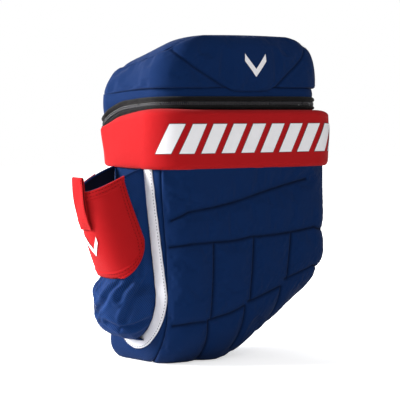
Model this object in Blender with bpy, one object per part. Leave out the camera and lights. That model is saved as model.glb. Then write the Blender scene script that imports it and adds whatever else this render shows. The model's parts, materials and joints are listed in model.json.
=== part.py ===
"""Backpack made to look like a hockey glove: padded panels, zipped lid, wrist band, thumb-like side pocket and straps.

The bag stands upright with +Z up. Its decorated front faces -Y and the wearer's back is towards +Y, so the side
pocket hangs on the -X side. The origin is the centre of the flat base that the bag stands on.
Every length below is in millimetres; make_object() turns millimetres into Blender's metres.
"""

import math

import bmesh
import bpy
from mathutils import Matrix, Vector

MM = 0.001
GAP = 0.4  # clearance between neighbouring pieces

# Body of the bag, in its own block space: x across, y front to back, z up from the underside.
HALF_WIDTH = 148.0
FRONT_Y = -79.0
BACK_Y = 79.0
FRONT_RADIUS = 38.0
BACK_RADIUS = 25.0
FRONT_CROWN = 7.0
BAND_LOW = 274.0
BODY_TOP = 358.0
ZIP_Z = 367.0
STRIP_LOW = 376.0
LID_LOW = 388.0
LID_TOP = 468.0

# How the block is shaped into a glove.
FINGER_CURL = (84.0, 60.0)  # height and depth of the fingertips' curl under the front
HEEL_CURL = (32.0, 30.0)
LEFT_CURL = (22.0, 12.0)
RIGHT_CURL = (64.0, 38.0)
KNUCKLE_BULGE = 9.0
WAIST = 3.8
SHOULDER = 10.5
TOP_SET_BACK = 10.0
TOP_LEAN = 20.0
RISE_START = -50.0  # the underside is flat up to here, then climbs to the short finger
RISE_BLEND = 50.0
RISE_SLOPE = 0.68
BACK_DROP = ((274.0, 0.0), (355.0, 18.0), (367.0, 14.0), (388.0, 9.0), (470.0, 33.0))  # (height, drop at the back)

# Where the cut panels meet, as stations round the section (see ring_point).
FRONT_SEAM = 0.628
SEAM_STATION_GAP = 0.02
BACK_SEAM = 3.5
BACK_SEAM_GAP = 0.04

FRONT_THICK = 10.0
SIDE_THICK = 4.0
BACK_THICK = 9.0
BASE_THICK = 5.0
LINER_THICK = 0.8
LID_THICK = 8.0
BAND_THICK = 10.0
BAND_END_THICK = 5.0

BASE_CENTRE = (-91.0, 10.5)  # centre of the flat base in block space, which becomes the origin

# Zip.
TAPE_THICK = 1.2
CHAIN_HALF = 2.4
CHAIN_THICK = 3.0
SLIDER_SIZE = (6.0, 13.0, 10.0)
PULL_LENGTH = 26.0

# Side pocket.
POCKET_LOW = 42.0
POCKET_TOP = 246.0
POCKET_THICK = 1.2
TAPE_WIDTH = 17.0
TAPE_STAND_OFF = 1.6
TRIM_THICK = 1.2
TAPE_TOP = 271.0
TAPE_BEND = (100.0, 72.0)  # height where the U's bottom begins, and how far below that its centre line reaches
TAPE_FRONT = (-40.0, -60.0)  # depth of the front leg at its top and where the bend begins
TAPE_BACK = 56.0
COLLAR_THICK = 2.6
COLLAR_STAND_OFF = 1.3
TAB_SIZE = (3.0, 27.0, 74.0)
TAB_FOOT = 192.0

# Straps.
YOKE_LOW = 276.0
YOKE_TOP = 326.0
STRAP_TOP = (54.0, 300.0)
STRAP_LOW = (108.0, 124.0)
STRAP_STAND_OFF = 17.0  # from the back to the axis a strap swings about
ANCHOR_CLEARANCE = 5.2  # from that axis to the anchors, so that the strap can turn
ANCHOR_SIZE = (34.0, 14.0)
STRAP_ARCH = 58.0
ROOT_WIDTH = (20.0, 34.0)  # at the anchor and at the pad
ROOT_END = 0.085
PAD_SPAN = (0.1, 0.66)
LOCK_SHARE = 0.72
WEB_SPAN = (0.77, 0.99)
TAIL_LENGTH = 86.0
WEB_WIDTH = 25.0
WEB_THICK = 1.6

FABRIC_BLUE = (0.012, 0.055, 0.19)
FABRIC_RED = (0.62, 0.02, 0.03)
FABRIC_WHITE = (0.78, 0.77, 0.83)
FABRIC_BLACK = (0.012, 0.012, 0.014)
MESH_BLUE = (0.010, 0.040, 0.15)
LINER_GREY = (0.08, 0.08, 0.09)
PLASTIC_BLACK = (0.02, 0.02, 0.022)
METAL_DARK = (0.10, 0.10, 0.11)


# ---------------------------------------------------------------- scene helpers


def clear_scene():
    for obj in list(bpy.data.objects):
        bpy.data.objects.remove(obj)


def make_material(name, colour, roughness, metallic=0.0):
    material = bpy.data.materials.new(name)
    material.use_nodes = True
    shader = material.node_tree.nodes["Principled BSDF"]
    shader.inputs["Base Color"].default_value = (*colour, 1.0)
    shader.inputs["Roughness"].default_value = roughness
    shader.inputs["Metallic"].default_value = metallic
    return material


def make_pivot(name, point, parent=None):
    """An empty at a point in millimetres. The pieces of a moving body are its children."""
    pivot = bpy.data.objects.new(name, None)
    bpy.context.scene.collection.objects.link(pivot)
    world = Vector(point) * MM
    if parent:
        pivot.parent = parent
        world -= parent.matrix_world.translation
    pivot.location = world
    bpy.context.view_layer.update()
    return pivot


def make_object(name, points, faces, material, parent=None):
    """A mesh object from points in millimetres, stored relative to its parent empty."""
    origin = parent.matrix_world.translation if parent else Vector()
    mesh = bpy.data.meshes.new(name)
    mesh.from_pydata([Vector(p) * MM - origin for p in points], [], faces)
    build = bmesh.new()
    build.from_mesh(mesh)
    bmesh.ops.recalc_face_normals(build, faces=build.faces)
    build.to_mesh(mesh)
    build.free()
    mesh.shade_smooth()
    mesh.set_sharp_from_angle(angle=math.radians(35))
    mesh.materials.append(material)
    obj = bpy.data.objects.new(name, mesh)
    obj.parent = parent
    bpy.context.scene.collection.objects.link(obj)
    return obj


def slab(name, outer, inner, material, parent=None, closed=False):
    """A solid between two grids of points with the same rows and columns. closed joins each row's ends."""
    rows, columns = len(outer), len(outer[0])
    points = [p for row in outer for p in row] + [p for row in inner for p in row]
    half = rows * columns
    last = columns if closed else columns - 1
    faces = []
    for i in range(rows - 1):
        for j in range(last):
            k = (j + 1) % columns
            a, b, c, d = (i * columns + j, i * columns + k, (i + 1) * columns + k, (i + 1) * columns + j)
            faces.append((a, b, c, d))
            faces.append((half + d, half + c, half + b, half + a))
    for j in range(last):
        k = (j + 1) % columns
        bottom = (rows - 1) * columns
        faces.append((j, half + j, half + k, k))
        faces.append((bottom + k, half + bottom + k, half + bottom + j, bottom + j))
    if not closed:
        for i in range(rows - 1):
            a, d = i * columns, (i + 1) * columns
            faces.append((a, d, half + d, half + a))
            a, d = a + columns - 1, d + columns - 1
            faces.append((d, a, half + a, half + d))
    return make_object(name, points, faces, material, parent)


def bowl(name, outer, inner, material, parent=None):
    """A solid between two stacks of closed rings, each stack closed at its last ring by a point."""
    columns = len(outer[0])
    points = []
    for stack in (outer, inner):
        for ring in stack:
            points.extend(ring)
        points.append(sum((Vector(p) for p in stack[-1]), Vector()) / columns)
    half = len(outer) * columns + 1
    faces = []
    for start in (0, half):
        for i in range(len(outer) - 1):
            for j in range(columns):
                k = (j + 1) % columns
                a = start + i * columns
                faces.append((a + j, a + k, a + columns + k, a + columns + j))
        top = start + (len(outer) - 1) * columns
        for j in range(columns):
            faces.append((top + j, top + (j + 1) % columns, start + half - 1))
    for j in range(columns):
        k = (j + 1) % columns
        faces.append((j, half + j, half + k, k))
    return make_object(name, points, faces, material, parent)


def box(name, size, centre, material, parent=None, bevel=0.0, turn=None):
    """A box with bevelled edges; size and centre in millimetres, turn a rotation matrix about its centre."""
    build = bmesh.new()
    bmesh.ops.create_cube(build, size=1.0)
    bmesh.ops.scale(build, vec=Vector(size), verts=build.verts)
    if bevel:
        bmesh.ops.bevel(build, geom=build.edges[:], offset=bevel, segments=1, affect="EDGES")
    if turn:
        bmesh.ops.rotate(build, cent=Vector(), matrix=turn, verts=build.verts)
    bmesh.ops.translate(build, vec=Vector(centre), verts=build.verts)
    points = [v.co.copy() for v in build.verts]
    faces = [[v.index for v in f.verts] for f in build.faces]
    build.free()
    return make_object(name, points, faces, material, parent)


# ---------------------------------------------------------------- shape of the bag


def clamp(t):
    return min(1.0, max(0.0, t))


def smooth(t):
    t = clamp(t)
    return t * t * (3 - 2 * t)


def spread(low, high, count):
    return [low + (high - low) * i / (count - 1) for i in range(count)]


def rounding(distance, curl):
    """How far a wall has turned in, at a distance from the edge it rolls into. curl is (height, depth)."""
    height, depth = curl
    t = clamp((height - distance) / height)
    return depth * (1 - math.sqrt(1 - t * t))


def back_lean(z):
    return TOP_LEAN * smooth((z - 220) / 150)


def back_drop(z):
    """How much lower a level runs at the back than at the front."""
    for (low, start), (high, end) in zip(BACK_DROP, BACK_DROP[1:]):
        if z <= high:
            return start + (end - start) * clamp((z - low) / (high - low))
    return BACK_DROP[-1][1]


def body_section(z):
    """Extents and corner radii of the bag's horizontal section at block height z."""
    low = 1 - smooth((z - 110) / 160)
    high = smooth((z - BAND_LOW) / (BODY_TOP - BAND_LOW))
    half = HALF_WIDTH - WAIST * low - SHOULDER * high
    left = -half + rounding(z, LEFT_CURL)
    right = half - rounding(z, RIGHT_CURL)
    front = FRONT_Y - KNUCKLE_BULGE * low + TOP_SET_BACK * high + rounding(z, FINGER_CURL)
    back = BACK_Y + back_lean(z) - rounding(z, HEEL_CURL)
    turn_in = clamp(rounding(z, FINGER_CURL) / FINGER_CURL[1])
    return left, right, front, back, FRONT_RADIUS - 14 * turn_in, BACK_RADIUS - 5 * turn_in


def band_section(z):
    """The hoop that the wrist band follows: the bag's front stays upright here while the fabric behind sets back."""
    left, right, front, back, front_radius, back_radius = body_section(BAND_LOW)
    return left, right, front, BACK_Y + back_lean(z), front_radius, back_radius


def lid_section(z):
    """Section of the padded lid, which puffs out just above its seam and rounds over at the top."""
    half = HALF_WIDTH - SHOULDER
    puff = 3.5 * smooth((z - LID_LOW + 6) / 8) * (1 - smooth((z - 398) / 70))
    shoulder = rounding(LID_TOP - z, (58.0, 54.0))
    brow = rounding(LID_TOP - z, (26.0, 24.0))
    nape = rounding(LID_TOP - z, (40.0, 36.0))
    front = FRONT_Y + TOP_SET_BACK - puff + brow
    back = BACK_Y + TOP_LEAN + puff - nape
    return -half - puff + shoulder, half + puff - shoulder, front, back, FRONT_RADIUS - 6 * brow / 24, BACK_RADIUS + 6


def ring_point(u, section):
    """Point of a rounded-rectangle section at station u: 0 to 1 runs along the front from left to right, 1 to 2 round
    the right-front corner, 2 to 3 along the right side, and so on round to 8, which is 0 again."""
    left, right, front, back, front_radius, back_radius = section
    piece = math.floor(u)
    t = u - piece
    piece %= 8
    corners = {
        1: (right - front_radius, front + front_radius, front_radius, -90.0),
        3: (right - back_radius, back - back_radius, back_radius, 0.0),
        5: (left + back_radius, back - back_radius, back_radius, 90.0),
        7: (left + front_radius, front + front_radius, front_radius, 180.0),
    }
    if piece in corners:
        cx, cy, radius, start = corners[piece]
        angle = math.radians(start + 90 * t)
        x, y = cx + radius * math.cos(angle), cy + radius * math.sin(angle)
    elif piece == 0:
        x, y = left + front_radius + t * (right - left - 2 * front_radius), front
    elif piece == 2:
        x, y = right, front + front_radius + t * (back - front - front_radius - back_radius)
    elif piece == 4:
        x, y = right - back_radius - t * (right - left - 2 * back_radius), back
    else:
        x, y = left, back - back_radius - t * (back - front - front_radius - back_radius)
    middle, half = (left + right) / 2, (right - left) / 2
    forward = clamp((front + front_radius - y) / front_radius)
    y -= FRONT_CROWN * (1 - ((x - middle) / half) ** 2) * forward
    return x, y


def underside(x):
    """Height of the bag's underside above the floor, flat below the long fingers and climbing to the short one."""
    t = x - RISE_START
    if t <= 0:
        return 0.0
    if t < RISE_BLEND:
        return RISE_SLOPE * t * t / (2 * RISE_BLEND)
    return RISE_SLOPE * (t - RISE_BLEND / 2)


def settle(x, y, z):
    """Moves a block-space point to its place on the bag: sloping underside, and top edges that drop to the back."""
    drop = back_drop(z)
    if z < BAND_LOW:
        rise = underside(x)
        z = rise + z * (BAND_LOW - rise) / BAND_LOW
    z -= drop * (y - FRONT_Y) / (BACK_Y - FRONT_Y)
    return Vector((x - BASE_CENTRE[0], y - BASE_CENTRE[1], z))


def skin(u, z, section=body_section, offset=0.0):
    """Point offset millimetres outside the bag's surface at station u and block height z."""
    step_u, step_z = 1e-4, 1e-3

    def at(station, height):
        return settle(*ring_point(station, section(height)), height)

    point = at(u, z)
    along = at(u + step_u, z) - at(u - step_u, z)
    up = at(u, z + step_z) - at(u, z if z < 1 else z - step_z)
    return point + along.cross(up).normalized() * offset


def panel(name, stations, heights, outer, inner, material, section=body_section, parent=None, closed=False):
    """A slab of the bag's surface between two offsets, which may be numbers or functions of (u, z)."""

    def grid(offset):
        value = offset if callable(offset) else lambda u, z: offset
        return [[skin(u, z, section, value(u, z)) for u in stations] for z in heights]

    return slab(name, grid(outer), grid(inner), material, parent, closed)


FINGER_LEVELS = [FINGER_CURL[0] * (1 - math.sin(math.radians(a))) for a in (90, 70, 50, 30, 14, 0)]
BODY_LEVELS = FINGER_LEVELS + [130, 190, 240, BAND_LOW, 305, 332, BODY_TOP]
LEFT_SIDE = [-FRONT_SEAM - SEAM_STATION_GAP, -0.82, -1.0, -1.35, -1.7, -2.0, -2.25, 1 - BACK_SEAM + BACK_SEAM_GAP]
FRONT_SPAN = [-FRONT_SEAM, -0.4, -0.2, 0.0, 0.15, 0.3, 0.45, 0.6, 0.75, 0.9, 1.0, 1.2, 1.4, 1 + FRONT_SEAM]
BACK_SPAN = [BACK_SEAM + 0.25 * i for i in range(9)]


def mirrored(stations):
    """The same stations on the right-hand side, where 1 - u mirrors u."""
    return sorted(1 - u for u in stations)


# ---------------------------------------------------------------- bag body


def build_body(mats):
    panel("front_panel", FRONT_SPAN, BODY_LEVELS, 0, -FRONT_THICK, mats["blue"])
    panel("side_panel_left", sorted(LEFT_SIDE), BODY_LEVELS, 0, -SIDE_THICK, mats["blue"])
    panel("side_panel_right", mirrored(LEFT_SIDE), BODY_LEVELS, 0, -SIDE_THICK, mats["blue"])
    back_levels = BODY_LEVELS[:-1] + [346, ZIP_Z - 0.8]
    panel("back_panel", BACK_SPAN, back_levels, 0, -BACK_THICK, mats["blue"])
    base_panel(mats["blue"])
    liner(mats["liner"])
    panel(
        "frame_sheet",
        spread(4.04, 4.96, 4),
        [118, 160, 220, 280, 330],
        -BACK_THICK - LINER_THICK - 4.0,
        -BACK_THICK - LINER_THICK - 6.0,
        mats["plastic"],
    )


def base_panel(material):
    """The bottom of the bag: a flat foot, then a strip that climbs with the underside."""
    inset = 2.0
    left, right, front, back, front_radius, _ = body_section(0)
    xs = [left + inset, left + 8, left + 22, RISE_START]
    xs += spread(RISE_START + 14, right - 24, 8) + [right - 13, right - 6]
    outer, inner = [], []
    for x in xs:
        end = min(x - left, right - x)
        cut = front_radius * (1 - math.sqrt(1 - clamp((front_radius - end) / front_radius) ** 2))
        low, high = front + cut + inset, back - cut - inset
        outer.append([settle(x, low + (high - low) * t, 0) for t in (0, 0.5, 1)])
        inner.append([settle(x, low + (high - low) * t, BASE_THICK) for t in (0, 0.5, 1)])
    slab("base_panel", outer, inner, material)


def wall_inside(u):
    """Offset of the lining's outer face: just inside the front and back padding."""
    return -(FRONT_THICK if abs(u - 0.5) < 2 else BACK_THICK) - 2.0


def liner(material):
    """The thin inner bag: closed at the bottom, open under the lid."""
    stations = [-3.0, -2.67, -2.33, -2.0, -1.5, -1.0, -0.67, -0.33, 0.0, 0.25, 0.5, 0.75]
    stations += [1.0, 1.33, 1.67, 2.0, 2.5, 3.0, 3.33, 3.67, 4.0, 4.5]
    levels = [BODY_TOP - 2, 320, 274, 220, 160, 110, 84, 60, 36, 20]

    def rings(extra):
        stack = [[skin(u, z, offset=wall_inside(u) - extra) for u in stations] for z in levels]
        last = stack[-1]
        centre = sum(last, Vector()) / len(last)
        for share in (0.75, 0.4):
            stack.append([centre + (p - centre) * share for p in last])
        return stack

    bowl("liner", rings(0), rings(LINER_THICK), material)


def build_band(mats):
    """The wide red wrist band: a padded hoop round the front and sides, thinner where it is sewn in at the back."""
    stations = [-2.62, -2.4, -2.2, -2.0, -1.5, -1.0, -0.75, -0.5, -0.25, 0.0, 0.25, 0.5]
    stations = stations + mirrored(stations[:-1])
    low, high = BAND_LOW - 2, BODY_TOP - 3

    def thickness(u):
        away = smooth((abs(u - 0.5) - 1.6) / 1.5)
        return BAND_THICK + (BAND_END_THICK - BAND_THICK) * away

    def lower_edge(u):
        return low + 4 * smooth((abs(u - 0.5) - 1.8) / 1.3)

    def at(u, share, depth):
        z = lower_edge(u) + (high - lower_edge(u)) * share
        grip = smooth((abs(u - 0.5) - 2.5) / 0.6)
        hoop = skin(u, z, band_section, thickness(u))
        outside = hoop.lerp(skin(u, z, offset=BAND_END_THICK), grip)
        return skin(u, z, offset=2.0).lerp(outside, depth)

    shares = [0.0, 0.04, 0.1, 0.35, 0.65, 0.9, 0.96, 1.0]
    depths = [0.45, 0.85, 1.0, 1.0, 1.0, 1.0, 0.85, 0.45]
    outer = [[at(u, s, d) for u in stations] for s, d in zip(shares, depths)]
    inner = [[at(u, s, 0) for u in stations] for s in shares]
    slab("wrist_band", outer, inner, mats["red"])


def build_side_trim(mats):
    """White binding tape in a U round the side pocket."""
    rows = [[tape_point(t, across) for across in (-TAPE_WIDTH / 2, 0, TAPE_WIDTH / 2)] for t in spread(0, 1, 31)]
    top = [[side_skin(y, z, TAPE_STAND_OFF + TRIM_THICK) for y, z in row] for row in rows]
    low = [[side_skin(y, z, TAPE_STAND_OFF) for y, z in row] for row in rows]
    slab("pocket_tape", top, low, mats["white"])


def side_skin(y, z, offset):
    """Point on the left side at block depth y and height z, continued round the corners by arc length."""
    left, right, front, back, front_radius, back_radius = body_section(z)
    start, end = front + front_radius, back - back_radius
    if y < start:
        u = -1 + (start - y) / (front_radius * math.pi / 2)
    elif y > end:
        u = -2 - (y - end) / (back_radius * math.pi / 2)
    else:
        u = -1 - (y - start) / (end - start)
    return skin(u, z, offset=offset)


def tape_point(t, across):
    """Point (depth, height) of the U-shaped tape: t runs down the front leg, round the bottom and up the back leg, and
    across shifts it sideways, away from the pocket."""
    bend, reach = TAPE_BEND
    leg = TAPE_TOP - bend
    centre, radius = (TAPE_FRONT[1] + TAPE_BACK) / 2, (TAPE_BACK - TAPE_FRONT[1]) / 2
    arc = math.pi * (radius + reach) / 2
    travel = t * (2 * leg + arc)
    if travel < leg:
        share = travel / leg
        return TAPE_FRONT[0] + (TAPE_FRONT[1] - TAPE_FRONT[0]) * share - across, TAPE_TOP - travel
    if travel < leg + arc:
        angle = math.pi * (travel - leg) / arc
        return centre - (radius + across) * math.cos(angle), bend - (reach + across) * math.sin(angle)
    return TAPE_BACK + across, bend + travel - leg - arc


# ---------------------------------------------------------------- side pocket


def pocket_bulge(z):
    """How far the pocket stands out from the side at height z: a round belly, a pinch, and a flared mouth."""
    belly = 56 * (1 - clamp((90 - z) / 52) ** 2.5) ** 0.4
    pinch = 12 * smooth((z - 95) / 30)
    flare = 32 * math.sin(math.pi / 2 * clamp((z - 125) / 120) ** 0.8)
    return belly - pinch + flare


def pocket_edges(z):
    """Depths of the pocket's front and back edges at height z, just inside the tape."""
    bend, reach = TAPE_BEND
    inset = TAPE_WIDTH / 2 + 1.5
    lean = (TAPE_FRONT[0] - TAPE_FRONT[1]) * clamp((z - bend) / (TAPE_TOP - bend))
    front, back = TAPE_FRONT[1] + lean + inset, TAPE_BACK - inset
    if z < bend:
        narrowing = math.sqrt(1 - min(1, (bend - z) / (reach - inset)) ** 2)
        middle = (front + back) / 2
        return middle - (middle - front) * narrowing, middle + (back - middle) * narrowing
    return front, back


def pocket_point(share, z, offset=0.0):
    """Point of the pocket's skin. share runs from -1 at the front edge to 1 at the back edge."""

    def at(s, height):
        angle = s * math.pi / 2
        front, back = pocket_edges(height)
        power = 0.85
        across = math.copysign(abs(math.sin(angle)) ** power, angle)
        out = math.cos(angle) ** power if abs(s) < 1 else 0.0
        base = side_skin((front + back) / 2 + across * (back - front) / 2, height, 2.4)
        return base + Vector((-pocket_bulge(height) * out, 0, 0))

    step = 1e-3
    low, high = max(-1.0, share - step), min(1.0, share + step)
    point = at(share, z)
    along = at(high, z) - at(low, z)
    up = at(share, z + 0.5) - at(share, z - 0.5)
    return point + up.cross(along).normalized() * offset


def mouth_height(share):
    """Height of the pocket's rim: lowest at its outermost point."""
    return POCKET_TOP + 20 * (1 - math.cos(share * math.pi / 2))


def build_pocket(mats):
    shares = [-1, -0.95, -0.86, -0.72, -0.54, -0.36, -0.18, 0, 0.18, 0.36, 0.54, 0.72, 0.86, 0.95, 1]
    lows = [POCKET_LOW + 3, 48, 54, 62, 76, 92, 108, 122, 134, 150, 172, 196, 220]

    def rows(offset):
        grid = [[pocket_point(s, z, offset) for s in shares] for z in lows]
        grid.append([pocket_point(s, mouth_height(s), offset) for s in shares])
        return grid

    slab("mesh_pocket", rows(0), rows(-POCKET_THICK), mats["mesh"])

    def collar_z(across, level):
        bottom = 122 + 46 * abs(across) ** 5
        return bottom + (mouth_height(0.8 * across) + 1 - bottom) * level

    def collar_share(across, z):
        return across * (0.92 - 0.16 * clamp((z - 177) / 80))

    def collar(offset):
        grid = []
        for level in (0, 0.1, 0.22, 0.36, 0.52, 0.7, 0.88, 1.0):
            heights = [(x, collar_z(x, level)) for x in spread(-1, 1, 15)]
            grid.append([pocket_point(collar_share(x, z), z, offset) for x, z in heights])
        return grid

    slab("pocket_collar", collar(COLLAR_STAND_OFF + COLLAR_THICK), collar(COLLAR_STAND_OFF), mats["red"])


def build_pull_tab(mats):
    """Finger tab that stands up from the collar; it folds outwards about its sewn lower end."""
    collar_face = COLLAR_STAND_OFF + COLLAR_THICK
    foot = pocket_point(0, TAB_FOOT, collar_face + 1.0 + TAB_SIZE[0] / 2)
    top = pocket_point(0, POCKET_TOP, collar_face + 4.5)
    lean = (top - foot).normalized()
    pivot = make_pivot("pull_tab_pivot", foot)
    thick, wide, tall = TAB_SIZE
    outward = Vector((lean.z, 0, -lean.x)) * -1
    grids = []
    for side in (0.5, -0.5):
        rows = []
        for share in (0.0, 0.03, 0.3, 0.6, 0.9, 0.97, 1.0):
            half = wide / 2 - (3 if share in (0.0, 1.0) else 0)
            bow = 1.5 * math.sin(math.pi * share)
            centre = foot + lean * (tall * share) + outward * (thick * side + bow)
            rows.append([centre + Vector((0, y, 0)) for y in (-half, 0, half)])
        grids.append(rows)
    slab("pocket_pull_tab", grids[0], grids[1], mats["red"], pivot)


# ---------------------------------------------------------------- lid and zip


def build_lid(mats):
    hinge = hinge_point()
    lid = make_pivot("lid_pivot", hinge)
    ring = [-2.75, -2.5, -2.25, -2.0, -1.5, -1.0, -0.75, -0.5, -0.25, 0, 0.2, 0.4, 0.6, 0.8]
    ring += [1, 1.25, 1.5, 1.75, 2, 2.5, 3, 3.25, 3.5, 3.75, 4, 4.33, 4.67, 5.0]
    wall_top = LID_TOP - 20
    heights = [LID_LOW, LID_LOW + 4, 398, 410, 424, wall_top]
    panel("lid_wall", ring, heights, 0, -LID_THICK, mats["blue"], lid_section, lid, closed=True)
    crown = [wall_top + 2.0] + [LID_TOP - 20 * (1 - math.sin(math.radians(a))) for a in (28, 46, 66, 89)]

    def rings(offset):
        stack = [[skin(u, z, lid_section, offset) for u in ring] for z in crown]
        last = stack[-1]
        centre = sum(last, Vector()) / len(last)
        for share in (0.78, 0.45):
            lift = Vector((0, 0, 2.5 * (1 - share * share)))
            stack.append([centre + (p - centre) * share + lift for p in last])
        return stack

    bowl("lid_top", rings(0), rings(-LID_THICK), mats["blue"], lid)
    strip = [-2.5 + SEAM_STATION_GAP, -2.25, -2, -1.5, -1, -0.75, -0.5, -0.25, 0, 0.25, 0.5]
    strip = strip + mirrored(strip[:-1])
    panel("lid_strip", strip, [STRIP_LOW, LID_LOW - GAP], 0, -3, mats["blue"], parent=lid, section=strip_section)
    back = spread(3.5, 5.5, 9)
    panel("lid_back", back, [ZIP_Z + 0.8, 378, LID_LOW - GAP], 0, -3, mats["blue"], parent=lid, section=strip_section)
    build_zip(mats, strip, lid)
    cord(mats["blue"], hinge)


def strip_section(z):
    """Between the body and the lid the section stays that of the body's top."""
    return body_section(BODY_TOP)


def hinge_point():
    """Middle of the lid's hinge, on the outside of the back panel where the zip's level meets it."""
    return skin(4.5, ZIP_Z, strip_section, 2.9)


def cord(material, centre):
    """Piped cord along the hinge line."""
    length = 2 * (HALF_WIDTH - SHOULDER - BACK_RADIUS) - 14
    build = bmesh.new()
    turn = Matrix.Rotation(math.pi / 2, 4, "Y")
    bmesh.ops.create_cone(
        build, cap_ends=True, segments=12, radius1=2.2, radius2=2.2, depth=length, matrix=turn
    )
    points = [v.co + centre for v in build.verts]
    faces = [[v.index for v in f.verts] for f in build.faces]
    build.free()
    make_object("hinge_cord", points, faces, material)


def build_zip(mats, stations, lid):
    low_chain, high_chain = ZIP_Z - CHAIN_HALF, ZIP_Z + CHAIN_HALF
    tape = dict(outer=-0.2, inner=-0.2 - TAPE_THICK, material=mats["tape"], section=strip_section)
    chain = dict(outer=CHAIN_THICK / 2, inner=-CHAIN_THICK / 2, material=mats["teeth"], section=strip_section)
    panel("zip_tape_lower", stations, [BODY_TOP + GAP, low_chain - GAP], **tape)
    panel("zip_tape_upper", stations, [high_chain + GAP, STRIP_LOW - GAP], parent=lid, **tape)
    panel("zip_teeth_lower", stations, [low_chain, ZIP_Z - 0.25], **chain)
    panel("zip_teeth_upper", stations, [ZIP_Z + 0.25, high_chain], parent=lid, **chain)


def build_sliders(mats):
    """Two sliders butted together on the right side, each with a hinged pull."""
    along = (skin(2.3, ZIP_Z, strip_section) - skin(2.7, ZIP_Z, strip_section)).normalized()
    out = Vector((1, 0, 0))
    up = out.cross(along) * -1
    turn = Matrix((out, along, up)).transposed()
    for name, station in (("front", 2.44), ("rear", 2.62)):
        centre = skin(station, ZIP_Z, strip_section, CHAIN_THICK / 2 + GAP + SLIDER_SIZE[0] / 2)
        body = make_pivot(f"slider_{name}_pivot", centre)
        box(f"slider_{name}", SLIDER_SIZE, centre, mats["metal"], body, bevel=1.2, turn=turn.to_3x3())
        loop = centre + out * (SLIDER_SIZE[0] / 2 + 1.6)
        pull = make_pivot(f"pull_{name}_pivot", loop, body)
        heading = along if name == "front" else along * -1
        middle = loop + heading * (PULL_LENGTH / 2 - 1.0)
        box(f"pull_{name}", (1.8, PULL_LENGTH, 7.0), middle, mats["metal"], pull, bevel=0.6, turn=turn.to_3x3())


# ---------------------------------------------------------------- back and straps


def build_back_pads(mats):
    for name, stations, heights in (
        ("back_pad_left", spread(4.60, 4.90, 4), [150, 190, 230, 262]),
        ("back_pad_right", spread(4.10, 4.40, 4), [150, 190, 230, 262]),
        ("lumbar_pad", spread(4.22, 4.78, 4), [98, 110, 130, 142]),
    ):
        panel(name, stations, heights, 9, 2, mats["airmesh"])
    panel("strap_yoke", spread(4.12, 4.88, 5), [YOKE_LOW, 290, 305, YOKE_TOP], 5.5, 1.5, mats["blue"])


def strap_frame(side):
    """End points of a strap's swing axis, its direction and the two directions across it."""
    def anchor(x, z):
        surface = skin(4.5, z)
        return Vector((side * x - BASE_CENTRE[0], surface.y + STRAP_STAND_OFF, surface.z))

    top, low = anchor(*STRAP_TOP), anchor(*STRAP_LOW)
    down = (low - top).normalized()
    out = (Vector((0, 1, 0)) - down * down.y).normalized()
    across = down.cross(out).normalized()
    return top, low, down, out, across


def strap_line(side, share):
    """Point of the strap's centre line and its direction, at a share of the way from the top anchor to the lower."""
    top, low, down, out, across = strap_frame(side)
    span = (low - top).length

    def at(s):
        arch = STRAP_ARCH * math.sin(math.pi * (s + 0.25 * s * (1 - s)))
        return top + down * (span * s) + out * arch

    ahead = (at(share + 0.004) - at(share - 0.004)).normalized()
    return at(share), ahead, ahead.cross(across).normalized() * -1, across


def strap_strip(name, side, shares, width, thick, lift, material, parent):
    """A strip that follows a strap's centre line, raised by lift along its own face."""
    grids = []
    for face in (1.0, 0.0):
        rows = []
        for share in shares:
            point, _, normal, across = strap_line(side, share)
            half = (width(share) if callable(width) else width) / 2
            middle = point + normal * (lift + thick * face)
            rows.append([middle + across * w for w in (-half, 0, half)])
        grids.append(rows)
    return slab(name, grids[0], grids[1], material, parent)


def pad_width(share):
    return ROOT_WIDTH[1] + 28 * math.sin(math.pi * clamp((share - 0.06) / 0.66)) ** 0.7


def root_width(share):
    narrow, wide = ROOT_WIDTH
    return narrow + (wide - narrow) * share / ROOT_END


def build_strap(mats, side, name):
    top, low, _, _, _ = strap_frame(side)
    pivot = make_pivot(f"strap_{name}_pivot", top)
    web, mesh = mats["webbing"], mats["airmesh"]
    strap_strip(f"strap_root_{name}", side, spread(0, ROOT_END, 3), root_width, 2, -1, web, pivot)
    strap_strip(f"strap_pad_{name}", side, spread(*PAD_SPAN, 12), pad_width, 9, -4, mesh, pivot)
    strap_strip(f"strap_web_{name}", side, spread(*WEB_SPAN, 6), WEB_WIDTH, WEB_THICK, 0, web, pivot)
    ladder_lock(f"ladder_lock_{name}", side, LOCK_SHARE, mats["plastic"], pivot)
    tail_strip(name, side, web, pivot)
    wide, tall = ANCHOR_SIZE
    for label, spot, start in (("top", top, 8.5), ("low", low, 1.5)):
        depth = STRAP_STAND_OFF - ANCHOR_CLEARANCE - start
        centre = spot - Vector((0, STRAP_STAND_OFF - start - depth / 2, 0))
        box(f"strap_anchor_{label}_{name}", (wide, depth, tall), centre, web, bevel=1.0)


def tail_strip(name, side, material, strap):
    """Loose end of the adjusting web, hanging straight down from the ladder lock."""
    start, _, normal, across = strap_line(side, WEB_SPAN[0])
    begin = start + normal * (WEB_THICK + 4.0)
    tail = make_pivot(f"tail_{name}_pivot", begin, strap)
    drop = Vector((0, 0.12, -1)).normalized()
    face = across.cross(drop).normalized()
    grids = []
    for lift in (WEB_THICK, 0.0):
        rows = []
        for share in (0.0, 0.35, 0.7, 1.0):
            middle = begin + drop * (TAIL_LENGTH * share) + face * (lift * (1 if face.y > 0 else -1))
            rows.append([middle + across * w for w in (-WEB_WIDTH / 2, 0, WEB_WIDTH / 2)])
        grids.append(rows)
    slab(f"strap_tail_{name}", grids[0], grids[1], material, tail)


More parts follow.
